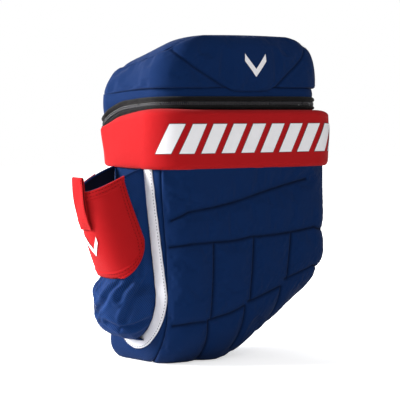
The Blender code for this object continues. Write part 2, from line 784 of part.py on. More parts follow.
def ladder_lock(name, side, share, material, parent):
    """Plastic ladder lock: a bevelled plate with two slots cut through it."""
    point, ahead, normal, across = strap_line(side, share)
    turn = Matrix((across, ahead, normal)).transposed().to_3x3()
    plate = box(name, (34, 15, 5), point, material, parent, bevel=1.0, turn=turn)
    for shift in (-3.2, 3.2):
        slot = box(name + f"_slot{shift:+.0f}", (27, 3.0, 12), point + ahead * shift, material, parent, turn=turn)
        slot.hide_render = True
        slot.display_type = "WIRE"
        cut = plate.modifiers.new("slot", "BOOLEAN")
        cut.operation = "DIFFERENCE"
        cut.object = slot


def build_haul_loop(mats):
    """Carrying loop of flat web, hanging down from the yoke; it swings up about its two sewn ends."""
    half, reach = 26.0, 46.0
    base = skin(4.5, YOKE_TOP - 8)
    axis = Vector((-BASE_CENTRE[0], base.y + 5.5 + 4.5, base.z))
    pivot = make_pivot("haul_loop_pivot", axis)
    grids = []
    for lift in (2.2, 0.0):
        rows = []
        for angle in spread(-90, 90, 9):
            t = math.radians(angle)
            x = half * math.sin(t)
            down = (reach - 8) * math.cos(t) ** 0.7 if abs(angle) < 90 else 0.0
            rows.append([axis + Vector((x, lift, -down - w)) for w in (0.0, 10.0, 20.0)])
        grids.append(rows)
    slab("haul_loop", grids[0], grids[1], mats["webbing"], pivot)


def main():
    clear_scene()
    mats = {
        "blue": make_material("blue_fabric", FABRIC_BLUE, 0.85),
        "red": make_material("red_fabric", FABRIC_RED, 0.8),
        "white": make_material("white_tape", FABRIC_WHITE, 0.7),
        "mesh": make_material("blue_mesh", MESH_BLUE, 0.8),
        "liner": make_material("liner", LINER_GREY, 0.8),
        "tape": make_material("zip_tape", FABRIC_BLACK, 0.85),
        "teeth": make_material("zip_teeth", PLASTIC_BLACK, 0.4),
        "metal": make_material("zip_metal", METAL_DARK, 0.35, 0.9),
        "plastic": make_material("black_plastic", PLASTIC_BLACK, 0.45),
        "webbing": make_material("black_webbing", FABRIC_BLACK, 0.8),
        "airmesh": make_material("air_mesh", FABRIC_BLACK, 0.9),
    }
    build_body(mats)
    build_band(mats)
    build_side_trim(mats)
    build_pocket(mats)
    build_pull_tab(mats)
    build_lid(mats)
    build_sliders(mats)
    build_back_pads(mats)
    build_haul_loop(mats)
    for side, name in ((-1, "left"), (1, "right")):
        build_strap(mats, side, name)


main()
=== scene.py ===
"""Looks of the glove-shaped backpack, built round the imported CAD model."""

import json
import math

import bmesh
import bpy
import numpy as np
from mathutils import Matrix, Vector
from mathutils.bvhtree import BVHTree

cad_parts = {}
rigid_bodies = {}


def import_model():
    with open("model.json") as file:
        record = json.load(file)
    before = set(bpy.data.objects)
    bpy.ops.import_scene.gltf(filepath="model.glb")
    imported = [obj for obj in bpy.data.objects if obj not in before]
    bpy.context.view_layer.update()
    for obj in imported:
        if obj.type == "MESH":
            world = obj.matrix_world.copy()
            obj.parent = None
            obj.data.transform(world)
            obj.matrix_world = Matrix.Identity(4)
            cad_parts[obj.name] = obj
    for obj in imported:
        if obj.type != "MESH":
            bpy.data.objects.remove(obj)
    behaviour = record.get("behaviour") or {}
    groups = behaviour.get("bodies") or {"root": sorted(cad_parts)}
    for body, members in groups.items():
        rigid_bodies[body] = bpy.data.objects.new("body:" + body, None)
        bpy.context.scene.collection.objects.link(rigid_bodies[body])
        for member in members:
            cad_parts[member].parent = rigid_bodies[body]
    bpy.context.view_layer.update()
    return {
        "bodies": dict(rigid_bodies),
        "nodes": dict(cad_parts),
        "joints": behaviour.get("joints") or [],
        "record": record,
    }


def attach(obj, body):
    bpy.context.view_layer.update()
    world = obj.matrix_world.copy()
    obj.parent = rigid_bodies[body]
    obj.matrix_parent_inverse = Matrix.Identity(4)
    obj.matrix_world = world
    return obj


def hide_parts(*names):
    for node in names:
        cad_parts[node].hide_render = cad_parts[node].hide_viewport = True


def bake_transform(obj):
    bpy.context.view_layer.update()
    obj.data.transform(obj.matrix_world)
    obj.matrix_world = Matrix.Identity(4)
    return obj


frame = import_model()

MM = 0.001

# ---------------------------------------------------------------- the bag's shape, in millimetres
# Block space has x across, y front to back and z up from the underside. A station u runs round the section:
# 0 to 1 along the front from left to right, 1 to 2 round the right-front corner, and so on round to 8.

HALF_WIDTH, FRONT_Y, BACK_Y = 148.0, -79.0, 79.0
FRONT_RADIUS, BACK_RADIUS, FRONT_CROWN = 38.0, 25.0, 7.0
BAND_LOW, BODY_TOP, ZIP_Z, STRIP_LOW, LID_LOW, LID_TOP = 274.0, 358.0, 367.0, 376.0, 388.0, 468.0
FINGER_CURL, HEEL_CURL, LEFT_CURL, RIGHT_CURL = (84.0, 60.0), (32.0, 30.0), (22.0, 12.0), (64.0, 38.0)
KNUCKLE_BULGE, WAIST, SHOULDER, TOP_SET_BACK, TOP_LEAN = 9.0, 3.8, 10.5, 10.0, 20.0
RISE_START, RISE_BLEND, RISE_SLOPE = -50.0, 50.0, 0.68
BACK_DROP = ((274.0, 0.0), (355.0, 18.0), (367.0, 14.0), (388.0, 9.0), (470.0, 33.0))
BASE_CENTRE = (-91.0, 10.5)
FRONT_SEAM = 0.614
BACK_SEAM = 2.5


def smooth(t):
    t = np.clip(t, 0, 1)
    return t * t * (3 - 2 * t)


def rounding(distance, curl):
    height, depth = curl
    t = np.clip((height - distance) / height, 0, 1)
    return depth * (1 - np.sqrt(np.maximum(0, 1 - t * t)))


def back_lean(z):
    return TOP_LEAN * smooth((z - 220) / 150)


def back_drop(z):
    return np.interp(z, [level for level, _ in BACK_DROP], [drop for _, drop in BACK_DROP])


def body_section(z):
    low = 1 - smooth((z - 110) / 160)
    high = smooth((z - BAND_LOW) / (BODY_TOP - BAND_LOW))
    half = HALF_WIDTH - WAIST * low - SHOULDER * high
    left = -half + rounding(z, LEFT_CURL)
    right = half - rounding(z, RIGHT_CURL)
    front = FRONT_Y - KNUCKLE_BULGE * low + TOP_SET_BACK * high + rounding(z, FINGER_CURL)
    back = BACK_Y + back_lean(z) - rounding(z, HEEL_CURL)
    turn_in = rounding(z, FINGER_CURL) / FINGER_CURL[1]
    return left, right, front, back, FRONT_RADIUS - 14 * turn_in, BACK_RADIUS - 5 * turn_in


def band_section(z):
    left, right, front, _, front_radius, back_radius = body_section(BAND_LOW + 0 * z)
    return left, right, front, BACK_Y + back_lean(z), front_radius, back_radius


def strip_section(z):
    return body_section(BODY_TOP + 0 * z)


def lid_section(z):
    half = HALF_WIDTH - SHOULDER
    puff = 3.5 * smooth((z - LID_LOW + 6) / 8) * (1 - smooth((z - 398) / 70))
    shoulder = rounding(LID_TOP - z, (58.0, 54.0))
    brow = rounding(LID_TOP - z, (26.0, 24.0))
    nape = rounding(LID_TOP - z, (40.0, 36.0))
    front = FRONT_Y + TOP_SET_BACK - puff + brow
    back = BACK_Y + TOP_LEAN + puff - nape
    return -half - puff + shoulder, half + puff - shoulder, front, back, FRONT_RADIUS - 6 * brow / 24, BACK_RADIUS + 6 + 0 * z


def ring_point(u, section):
    piece = np.floor(u).astype(int)
    t = u - piece
    piece = piece % 8
    left, right, front, back, front_radius, back_radius = (np.broadcast_to(a, u.shape) for a in section)
    x, y = np.zeros(u.shape), np.zeros(u.shape)
    corners = (
        (1, right - front_radius, front + front_radius, front_radius, -90),
        (3, right - back_radius, back - back_radius, back_radius, 0),
        (5, left + back_radius, back - back_radius, back_radius, 90),
        (7, left + front_radius, front + front_radius, front_radius, 180),
    )
    for index, cx, cy, radius, start in corners:
        angle = np.radians(start + 90 * t)
        here = piece == index
        x[here] = (cx + radius * np.cos(angle))[here]
        y[here] = (cy + radius * np.sin(angle))[here]
    wide, deep = right - left, back - front
    runs = (
        (0, left + front_radius + t * (wide - 2 * front_radius), front),
        (2, right, front + front_radius + t * (deep - front_radius - back_radius)),
        (4, right - back_radius - t * (wide - 2 * back_radius), back),
        (6, left, back - back_radius - t * (deep - front_radius - back_radius)),
    )
    for index, px, py in runs:
        here = piece == index
        x[here] = px[here]
        y[here] = py[here]
    forward = np.clip((front + front_radius - y) / front_radius, 0, 1)
    y = y - FRONT_CROWN * (1 - ((x - (left + right) / 2) / (wide / 2)) ** 2) * forward
    return x, y


def underside(x):
    t = x - RISE_START
    curve = RISE_SLOPE * t * t / (2 * RISE_BLEND)
    return np.where(t <= 0, 0, np.where(t < RISE_BLEND, curve, RISE_SLOPE * (t - RISE_BLEND / 2)))


def settle(x, y, z):
    rise = underside(x)
    drop = back_drop(z)
    share = (y - FRONT_Y) / (BACK_Y - FRONT_Y)
    level = smooth((z - 350) / 12) * (1 - smooth((z - 392) / 40)) * smooth(-x / 60)
    share = share - level * share * (1 - share)
    z = np.where(z < BAND_LOW, rise + z * (BAND_LOW - rise) / BAND_LOW, z)
    z = z - drop * share
    return np.stack(np.broadcast_arrays(x - BASE_CENTRE[0], y - BASE_CENTRE[1], z), -1)


def skin(u, z, section=body_section, offset=0.0):
    """Points offset millimetres outside the surface, at stations u and block heights z."""
    u, z, offset = np.broadcast_arrays(np.asarray(u, float), np.asarray(z, float), np.asarray(offset, float))

    def at(stations, heights):
        return settle(*ring_point(stations, section(heights)), heights)

    point = at(u, z)
    along = at(u + 1e-4, z) - at(u - 1e-4, z)
    up = at(u, z + 1e-3) - at(u, np.where(z < 1, z, z - 1e-3))
    normal = np.cross(along, up)
    normal /= np.linalg.norm(normal, axis=-1, keepdims=True)
    return point + normal * offset[..., None]


def side_skin(y, z, offset=0.0):
    """Points on the left side at block depth y, carried on round the corners by arc length."""
    y, z, offset = np.broadcast_arrays(np.asarray(y, float), np.asarray(z, float), np.asarray(offset, float))
    left, right, front, back, front_radius, back_radius = body_section(z)
    start, end = front + front_radius, back - back_radius
    u = -1 - (y - start) / (end - start)
    u = np.where(y < start, -1 + (start - y) / (front_radius * math.pi / 2), u)
    u = np.where(y > end, -2 - (y - end) / (back_radius * math.pi / 2), u)
    return skin(u, z, offset=offset)


# ---------------------------------------------------------------- mesh helpers


def spread(low, high, count):
    return np.linspace(low, high, count)


def lengths(points, axis):
    """Mean length along a grid's axis, as the running distance at each of its lines."""
    steps = np.linalg.norm(np.diff(points, axis=axis), axis=-1).mean(axis=1 - axis)
    return np.concatenate([[0.0], np.cumsum(steps)])


def add_object(name, points, faces, material, body, uvs=None, smooth_angle=None, slot=None, replaces=()):
    """A mesh piece from points in millimetres that rides on a body."""
    mesh = bpy.data.meshes.new(name)
    mesh.from_pydata((np.asarray(points, float) * MM).tolist(), [], [list(f) for f in faces])
    if uvs is not None:
        layer = mesh.uv_layers.new(name="cloth")
        index = np.empty(len(mesh.loops), np.int32)
        mesh.loops.foreach_get("vertex_index", index)
        layer.data.foreach_set("uv", (np.asarray(uvs, float) * MM)[index].astype(np.float32).ravel())
    mesh.validate()
    build = bmesh.new()
    build.from_mesh(mesh)
    bmesh.ops.recalc_face_normals(build, faces=build.faces)
    build.to_mesh(mesh)
    build.free()
    mesh.shade_smooth()
    if smooth_angle:
        mesh.set_sharp_from_angle(angle=math.radians(smooth_angle))
    mesh.materials.append(material)
    obj = bpy.data.objects.new(name, mesh)
    bpy.context.scene.collection.objects.link(obj)
    if body:
        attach(obj, body)
    if replaces:
        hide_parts(*replaces)
    return obj


def grid_faces(rows, columns, closed=False, start=0):
    last = columns if closed else columns - 1
    i, j = np.meshgrid(np.arange(rows - 1), np.arange(last), indexing="ij")
    k = (j + 1) % columns
    a = start + i * columns
    return np.stack([a + j, a + k, a + columns + k, a + columns + j], -1).reshape(-1, 4).tolist()


def sheet(name, points, material, body, closed=False, **options):
    """A cloth surface from a grid of points, with its real lengths as texture coordinates."""
    rows, columns = points.shape[:2]
    across, up = lengths(points, 1), lengths(points, 0)
    uvs = np.stack(np.meshgrid(across, up), -1).reshape(-1, 2)
    return add_object(name, points.reshape(-1, 3), grid_faces(rows, columns, closed), material, body, uvs=uvs, **options)


def slab(name, outer, inner, material, body, closed=False, **options):
    """A closed solid between two grids of points."""
    rows, columns = outer.shape[:2]
    half = rows * columns
    faces = grid_faces(rows, columns, closed) + grid_faces(rows, columns, closed, half)
    last = columns if closed else columns - 1
    end = (rows - 1) * columns
    for j in range(last):
        k = (j + 1) % columns
        faces.append([j, half + j, half + k, k])
        faces.append([end + k, half + end + k, half + end + j, end + j])
    if not closed:
        for i in range(rows - 1):
            a, d = i * columns, (i + 1) * columns
            faces.append([a, d, half + d, half + a])
            a, d = a + columns - 1, d + columns - 1
            faces.append([d, a, half + a, half + d])
    across, up = lengths(outer, 1), lengths(outer, 0)
    uvs = np.stack(np.meshgrid(across, up), -1).reshape(-1, 2)
    points = np.concatenate([outer.reshape(-1, 3), inner.reshape(-1, 3)])
    return add_object(name, points, faces, material, body, uvs=np.concatenate([uvs, uvs]), **options)


def padded(name, place, across, up, thick, material, body, edge=None, **options):
    """A closed cushion: place(s, t, offset) maps cloth coordinates to space, across and up are its line positions.
    Both faces round over into their edge, as a sewn pad's do."""
    s, t = np.meshgrid(across, up)
    edge = edge or thick
    reach = np.minimum(np.minimum(s - across[0], across[-1] - s), np.minimum(t - up[0], up[-1] - t))
    swell = np.sqrt(np.maximum(0, 1 - (1 - np.clip(reach / edge, 0, 1)) ** 2))
    outer = place(s, t, thick * (0.5 + 0.5 * swell))
    inner = place(s, t, thick * (0.5 - 0.5 * swell))
    return slab(name, outer, inner, material, body, **options)


def frames_along(path, closed=False):
    """Tangents of a path, from its neighbours."""
    if closed:
        tangent = np.roll(path, -1, 0) - np.roll(path, 1, 0)
    else:
        tangent = np.gradient(path, axis=0)
    return tangent / np.linalg.norm(tangent, axis=-1, keepdims=True)


def tube(name, path, radius, material, body, sides=10, closed=False, flatten=1.0, facing=None, **options):
    """A cord along a path. facing gives the direction across which it may be flattened."""
    tangent = frames_along(path, closed)
    facing = np.array([0.0, 0.0, 1.0]) if facing is None else facing
    across = np.cross(tangent, facing)
    across /= np.maximum(np.linalg.norm(across, axis=-1, keepdims=True), 1e-9)
    up = np.cross(across, tangent)
    angle = np.linspace(0, 2 * math.pi, sides, endpoint=False)
    radius = np.broadcast_to(np.asarray(radius, float), (len(path),))
    rings = (
        path[:, None]
        + across[:, None] * (radius[:, None] * np.cos(angle))[..., None]
        + up[:, None] * (radius[:, None] * flatten * np.sin(angle))[..., None]
    )
    count = len(path)
    faces = []
    for i in range(count if closed else count - 1):
        k = (i + 1) % count
        for j in range(sides):
            m = (j + 1) % sides
            faces.append([i * sides + j, i * sides + m, k * sides + m, k * sides + j])
    if not closed:
        faces.append(list(range(sides))[::-1])
        faces.append([(count - 1) * sides + j for j in range(sides)])
    run = np.concatenate([[0.0], np.cumsum(np.linalg.norm(np.diff(path, axis=0), axis=-1))])
    uvs = np.stack(np.broadcast_arrays(run[:, None], (angle * radius.mean())[None, :]), -1).reshape(-1, 2)
    return add_object(name, rings.reshape(-1, 3), faces, material, body, uvs=uvs, **options)


# ---------------------------------------------------------------- materials


class Graph:
    """Short way to write a material's nodes."""

    def __init__(self, name):
        self.material = bpy.data.materials.new(name)
        self.material.use_nodes = True
        self.tree = self.material.node_tree
        self.shader = self.tree.nodes["Principled BSDF"]

    def add(self, kind, *inputs, **settings):
        node = self.tree.nodes.new(kind)
        for key, value in settings.items():
            setattr(node, key, value)
        for index, value in enumerate(inputs):
            if value is not None:
                self.put(node.inputs[index], value)
        return node

    def put(self, socket, value):
        if isinstance(value, bpy.types.NodeSocket):
            self.tree.links.new(value, socket)
        else:
            socket.default_value = value

    def math(self, operation, a, b=None, c=None, clamp=False):
        return self.add("ShaderNodeMath", a, b, c, operation=operation, use_clamp=clamp).outputs[0]

    def noise(self, vector, scale, detail=2.0, roughness=0.5):
        node = self.add("ShaderNodeTexNoise")
        self.put(node.inputs["Vector"], vector)
        self.put(node.inputs["Scale"], scale)
        self.put(node.inputs["Detail"], detail)
        self.put(node.inputs["Roughness"], roughness)
        return node.outputs["Fac"]

    def set(self, name, value):
        self.put(self.shader.inputs[name], value)

    def cloth(self):
        """Texture coordinates in metres along the cloth."""
        uv = self.add("ShaderNodeUVMap", uv_map="cloth").outputs["UV"]
        parts = self.add("ShaderNodeSeparateXYZ", uv)
        return uv, parts.outputs["X"], parts.outputs["Y"]

    def place(self):
        return self.add("ShaderNodeTexCoord").outputs["Object"]

    def wave(self, value, pitch, shift=None):
        phase = self.math("MULTIPLY", value, 2 * math.pi / pitch)
        if shift is not None:
            phase = self.math("ADD", phase, shift)
        return self.math("SINE", phase)

    def mix(self, share, low, high):
        node = self.add("ShaderNodeMix", data_type="RGBA")
        self.put(node.inputs["Factor"], share)
        self.put(node.inputs["A"], low)
        self.put(node.inputs["B"], high)
        return node.outputs["Result"]

    def bump(self, height, distance, strength=1.0, normal=None):
        node = self.add("ShaderNodeBump")
        node.inputs["Strength"].default_value = strength
        node.inputs["Distance"].default_value = distance
        self.put(node.inputs["Height"], height)
        if normal is not None:
            self.put(node.inputs["Normal"], normal)
        return node.outputs["Normal"]


def rgba(colour, gain=1.0):
    return (*(min(1.0, c * gain) for c in colour), 1.0)


def cloth_material(name, colour, pitch=0.9, style="weave", depth=0.12, mottle=0.12, roughness=0.9, sheen=0.07, dark=0.55):
    """Woven or knitted cloth: threads at the given pitch in millimetres, with painted shade in the hollows between
    them, with uneven dye, and with painted shade where a piece marks cloth lying deep in a seam.
    """
    g = Graph(name)
    uv, across, up = g.cloth()
    step = pitch * MM
    if style == "weave":
        threads = g.math("MULTIPLY", g.wave(across, step), g.wave(up, step))
    elif style == "twill":
        slant = g.math("ADD", across, up)
        threads = g.math("MULTIPLY", g.wave(slant, step), g.math("ABSOLUTE", g.wave(up, step * 1.1)))
    elif style == "rib":
        threads = g.math("MULTIPLY_ADD", g.wave(across, step * 2.2), 0.35, g.wave(up, step))
    else:
        bend = g.math("ABSOLUTE", g.wave(across, step * 2))
        threads = g.wave(up, step, shift=g.math("MULTIPLY", bend, 1.7))
    height = g.math("MULTIPLY_ADD", threads, 0.5, 0.5)
    cloud = g.noise(g.place(), 38.0, 4.0)
    fine = g.noise(uv, 900.0, 2.0)
    # painted shade: the hollows between threads are darker than the thread tops
    tone = g.math("MULTIPLY_ADD", cloud, mottle, g.math("MULTIPLY", height, 0.35))
    tone = g.math("ADD", tone, g.math("MULTIPLY", fine, 0.25), clamp=True)
    # painted shade: the cloth is darkened where a piece records it lying deep in a seam or crease
    painted_seam_shade = g.add("ShaderNodeAttribute", attribute_name="painted_seam_shade").outputs["Fac"]
    tone = g.math("MULTIPLY_ADD", painted_seam_shade, -0.62, tone)
    node = g.add("ShaderNodeMix", data_type="RGBA", clamp_factor=False)
    g.put(node.inputs["Factor"], g.math("MAXIMUM", tone, -0.7))
    g.put(node.inputs["A"], rgba(colour, dark))
    g.put(node.inputs["B"], rgba(colour, 1.25))
    g.set("Base Color", node.outputs["Result"])
    g.set("Roughness", roughness)
    g.set("Specular IOR Level", 0.12)
    g.set("Sheen Weight", sheen)
    g.set("Sheen Roughness", 0.45)
    g.set("Sheen Tint", rgba([0.35 + 0.5 * c for c in colour]))
    soft = g.bump(g.noise(g.place(), 55.0, 3.0), 0.0012, 0.5)
    g.set("Normal", g.bump(height, depth * MM, 1.0, soft))
    return g.material


def plastic_material(name, colour, roughness=0.4, grain=0.02):
    g = Graph(name)
    speck = g.noise(g.place(), 2500.0, 2.0)
    wear = g.noise(g.place(), 90.0, 5.0)
    g.set("Base Color", g.mix(g.math("MULTIPLY", wear, 0.7), rgba(colour), rgba(colour, 1.7)))
    g.set("Roughness", g.math("MULTIPLY_ADD", wear, 0.2, roughness - 0.1))
    g.set("Normal", g.bump(speck, grain * MM))
    return g.material


def metal_material(name, colour, roughness=0.35):
    g = Graph(name)
    wear = g.noise(g.place(), 400.0, 5.0)
    g.set("Base Color", g.mix(wear, rgba(colour), rgba(colour, 2.2)))
    g.set("Metallic", 0.85)
    g.set("Roughness", g.math("MULTIPLY_ADD", wear, 0.25, roughness - 0.1))
    g.set("Normal", g.bump(wear, 0.02 * MM))
    return g.material


def mesh_material(name, colour, pitch=2.6, pierced=0.0):
    """Knitted mesh: slanting cords with a row of small holes between them, which are painted near black as the shade
    seen through them; back faces get painted shade too. pierced lets light through the holes low on the outer side,
    where the cloth is stretched most."""
    g = Graph(name)
    uv, across, up = g.cloth()
    step = pitch * MM
    slant = g.math("MULTIPLY_ADD", up, -0.8, across)
    cross = g.math("MULTIPLY_ADD", up, 0.8, across)
    cord = g.math("MULTIPLY_ADD", g.wave(slant, step), 0.5, 0.5)
    bridge = g.math("MULTIPLY_ADD", g.wave(cross, step * 0.85), 0.5, 0.5)
    height = g.math("MAXIMUM", cord, g.math("MULTIPLY", bridge, 0.7))
    cloud = g.noise(g.place(), 40.0, 3.0)
    # painted shade: the gaps between cords are darkened almost to black
    tone = g.math("MULTIPLY", height, g.math("MULTIPLY_ADD", cloud, 0.6, 0.6), clamp=True)
    # painted shade: back faces, the mesh's inner side, are darkened to a tenth of the front's tone
    behind = g.add("ShaderNodeNewGeometry").outputs["Backfacing"]
    shade = g.math("MULTIPLY", tone, g.math("MULTIPLY_ADD", behind, -0.9, 1.0))
    g.set("Base Color", g.mix(shade, rgba(colour, 0.1), rgba(colour, 2.1)))
    if pierced:
        parts = g.add("ShaderNodeSeparateXYZ", g.place())
        low = g.math("DIVIDE", g.math("SUBTRACT", 0.118, parts.outputs["Z"]), 0.03, clamp=True)
        out = g.math("DIVIDE", g.math("SUBTRACT", -0.104, parts.outputs["X"]), 0.02, clamp=True)
        patch = g.math("SUBTRACT", g.noise(g.place(), 34.0, 4.0, 0.7), 0.42)
        reach = g.math("MULTIPLY", g.math("MULTIPLY", low, out), g.math("MULTIPLY", patch, pierced), clamp=True)
        g.set("Alpha", g.math("GREATER_THAN", height, reach))
    g.set("Roughness", 0.8)
    g.set("Specular IOR Level", 0.15)
    g.set("Sheen Weight", 0.03)
    g.set("Normal", g.bump(height, 0.4 * MM))
    return g.material


BLUE = (0.0016, 0.0215, 0.100)
RED = (0.50, 0.0075, 0.0105)
WHITE = (0.76, 0.76, 0.81)
PRINT_WHITE = (0.86, 0.85, 0.88)
BLACK = (0.0065, 0.0065, 0.0075)

blue_cloth = cloth_material("blue_cloth", BLUE, pitch=0.9, style="twill")
blue_flat = cloth_material("blue_flat_cloth", BLUE, pitch=0.7, style="weave", depth=0.08)
red_cloth = cloth_material("red_cloth", RED, pitch=1.1, style="knit", depth=0.16, sheen=0.14, dark=0.6)
white_tape = cloth_material("white_tape", WHITE, pitch=1.3, style="rib", depth=0.12, mottle=0.06, sheen=0.5, dark=0.86)
white_print = cloth_material("white_print", PRINT_WHITE, pitch=1.0, style="knit", depth=0.05, mottle=0.05, sheen=0.0, dark=0.9)
grey_thread = cloth_material("grey_thread", (0.10, 0.097, 0.115), pitch=0.5, style="twill", depth=0.05)
blue_thread = cloth_material("blue_thread", (0.004, 0.019, 0.075), pitch=0.5, style="twill", depth=0.05)
red_thread = cloth_material("red_thread", (0.12, 0.002, 0.004), pitch=0.5, style="twill", depth=0.05)
black_thread = cloth_material("black_thread", (0.02, 0.02, 0.022), pitch=0.5, style="twill", depth=0.05)
zip_cloth = cloth_material("zip_cloth", (0.006, 0.0058, 0.0062), pitch=0.8, style="twill", sheen=0.3)
webbing = cloth_material("webbing", BLACK, pitch=1.6, style="rib", depth=0.25, sheen=0.3)
air_mesh = mesh_material("air_mesh", (0.010, 0.010, 0.0115), pitch=3.0)
pocket_mesh = mesh_material("pocket_mesh", BLUE, pitch=3.0, pierced=6.0)
lining_cloth = cloth_material("lining_cloth", (0.045, 0.045, 0.05), pitch=0.6, style="weave", depth=0.05)
black_plastic = plastic_material("black_plastic", (0.010, 0.010, 0.0115))
tooth_plastic = plastic_material("tooth_plastic", (0.045, 0.045, 0.05), roughness=0.3)
dark_metal = metal_material("dark_metal", (0.05, 0.05, 0.055))

# ---------------------------------------------------------------- front panel

# Sewn grooves of the front, as stations and heights: knuckle line, wrist line, then the channels between fingers.
GROOVES = (
    ((-0.5, 167), (0.14, 172), (0.46, 173), (0.79, 155), (1.2, 133), (1.6, 118)),
    ((-0.43, 204), (0.19, 221), (0.55, 235), (0.94, 249)),
    ((0.17, 171), (0.14, 66)),
    ((0.49, 171), (0.45, 80)),
    ((0.8, 153), (0.76, 74)),
    ((-0.45, 57), (0.1, 61)),
    ((0.12, 63), (0.4, 76)),
    ((0.43, 80), (0.7, 69)),
    ((0.74, 77), (1.46, 30)),
    ((0.12, 62), (0.18, 6)),
    ((0.41, 75), (0.4, 14)),
    ((0.71, 67), (0.71, 16)),
)


def walk(points, count=60):
    """Points spread along a broken line."""
    points = np.asarray(points, float)
    knots = np.linspace(0, 1, len(points))
    share = np.linspace(0, 1, count * (len(points) - 1) + 1)
    return np.stack([np.interp(share, knots, column) for column in points.T], -1)


def nearest(points, targets):
    """Distance from each point to the nearest target, in slices to keep memory small."""
    flat = points.reshape(-1, 3)
    found = np.empty(len(flat))
    for start in range(0, len(flat), 4000):
        part = flat[start : start + 4000]
        found[start : start + 4000] = np.sqrt(((part[:, None] - targets[None]) ** 2).sum(-1).min(1))
    return found.reshape(points.shape[:-1])


def on_skin(lines, section=body_section):
    """Points along lines given as stations and heights."""
    tracks = [walk(line) for line in lines]
    return np.concatenate([skin(track[:, 0], track[:, 1], section) for track in tracks])


def curled_levels(top, spacing):
    """Block heights spaced evenly along the curl and up the wall."""
    curl, depth = FINGER_CURL
    turn = int(0.5 * math.pi * (curl + depth) / 2 / spacing)
    low = curl * (1 - np.sin(np.radians(np.linspace(90, 0, turn))))
    return np.concatenate([np.maximum(low, 0.02), np.linspace(curl, top, int((top - curl) / spacing))[1:]])


def edge_roll(distance, radius, depth):
    """How far a panel's edge rolls in towards its seam."""
    return -depth * (1 - np.sqrt(np.maximum(0, 1 - (1 - np.clip(distance / radius, 0, 1)) ** 2)))


def paint_seam_shade(obj, depth):
    """Records where cloth lies deep in a seam or crease, as painted shade that darkens its material there."""
    values = obj.data.attributes.new("painted_seam_shade", "FLOAT", "POINT")
    values.data.foreach_set("value", np.ascontiguousarray(depth.ravel(), np.float32))


def grounded(points):
    """Cloth that would hang below the floor lies on it instead."""
    points[..., 2] = np.maximum(points[..., 2], 0.3)
    return points


def front_panel():
    stations = np.concatenate(
        [spread(-FRONT_SEAM, -0.015, 30), spread(0, 1, 165), spread(1.015, 1 + FRONT_SEAM, 30)]
    )
    levels = curled_levels(BODY_TOP - 2, 1.45)
    u, z = np.meshgrid(stations, levels)
    base = skin(u, z)
    to_groove = nearest(base, on_skin(GROOVES))
    corner = FRONT_RADIUS * math.pi / 2
    to_side = np.minimum((u + FRONT_SEAM), (1 + FRONT_SEAM - u)) * corner
    offset = 2.4 * (1 - np.exp(-((to_groove / 11) ** 2))) - 3.2 * np.exp(-((to_groove / 1.7) ** 2))
    offset += edge_roll(to_side, 7, 4.5) + 0.8
    offset += edge_roll(lengths(base, 0)[:, None] + 0 * u, 5, 3.0)
    offset -= 2.5 * smooth((u - 1.1) / 0.5)
    points = skin(u, z, offset=offset)
    points = grounded(points + padding(points, to_groove < 3.5, 2.5, 3.5))
    options = {"slot": "blue_fabric", "replaces": ("front_panel",)}
    obj = sheet("front_padding", points, blue_cloth, "bag", **options)
    # painted shade in and beside the sewn grooves
    paint_seam_shade(obj, np.exp(-((to_groove / 1.3) ** 2)) + 0.3 * np.exp(-((to_groove / 4) ** 2)))


# ---------------------------------------------------------------- sides, back and base


def wrinkles(points, size, depth, seed=0.0):
    """Soft unevenness of cloth, as a sum of a few slanted waves."""
    p = points / size
    found = np.zeros(points.shape[:-1])
    for k in range(1, 5):
        direction = np.array([math.sin(2.1 * k + seed), math.cos(1.7 * k + seed), math.sin(3.3 * k + 1 + seed)])
        found += np.sin(k * (p @ direction) + 1.3 * k + seed) / k
    return depth * found


def side_panels():
    levels = curled_levels(BODY_TOP - 2, 3.0)
    for name, low, high in (("left", -BACK_SEAM, -FRONT_SEAM), ("right", 1 + FRONT_SEAM, 1 + BACK_SEAM)):
        stations = spread(low, high, 70)
        u, z = np.meshgrid(stations, levels)
        base = skin(u, z)
        run = lengths(base, 1)
        reach = np.minimum(run, run[-1] - run)[None] + 0 * u
        offset = edge_roll(reach, 5, 3.5) + 0.6 + wrinkles(base, 22, 0.45) * smooth(reach / 20)
        offset += edge_roll(lengths(base, 0)[:, None] + 0 * u, 4, 2.5)
        if name == "left":
            offset += 4 * (1 - smooth((z - 10) / 40)) * smooth(-1 - u)
        else:
            offset -= 2.5 * (1 - smooth((u - 1 - FRONT_SEAM) / 0.8))
        sheet(
            f"gusset_{name}",
            grounded(skin(u, z, offset=offset)),
            blue_flat,
            "bag",
            slot="blue_fabric",
            replaces=(f"side_panel_{name}",),
        )


def back_panel():
    levels = curled_levels(ZIP_Z - 1, 3.5)
    u, z = np.meshgrid(spread(3.5, 5.5, 110), levels)
    base = skin(u, z)
    run = lengths(base, 1)
    reach = np.minimum(run, run[-1] - run)[None] + 0 * u
    offset = edge_roll(reach, 7, 3.5) + 0.3 + wrinkles(base, 30, 0.3, 2.0) * smooth(reach / 20)
    offset += 4 * (1 - smooth((z - 10) / 40)) * smooth(u - 4.5)
    offset += zip_bulge(u) * smooth((z - 336) / 24)
    offset += edge_roll(lengths(base, 0)[:, None] + 0 * u, 4, 2.5)
    return sheet(
        "back_cloth", grounded(skin(u, z, offset=offset)), blue_flat, "bag", slot="blue_fabric", replaces=("back_panel",)
    )


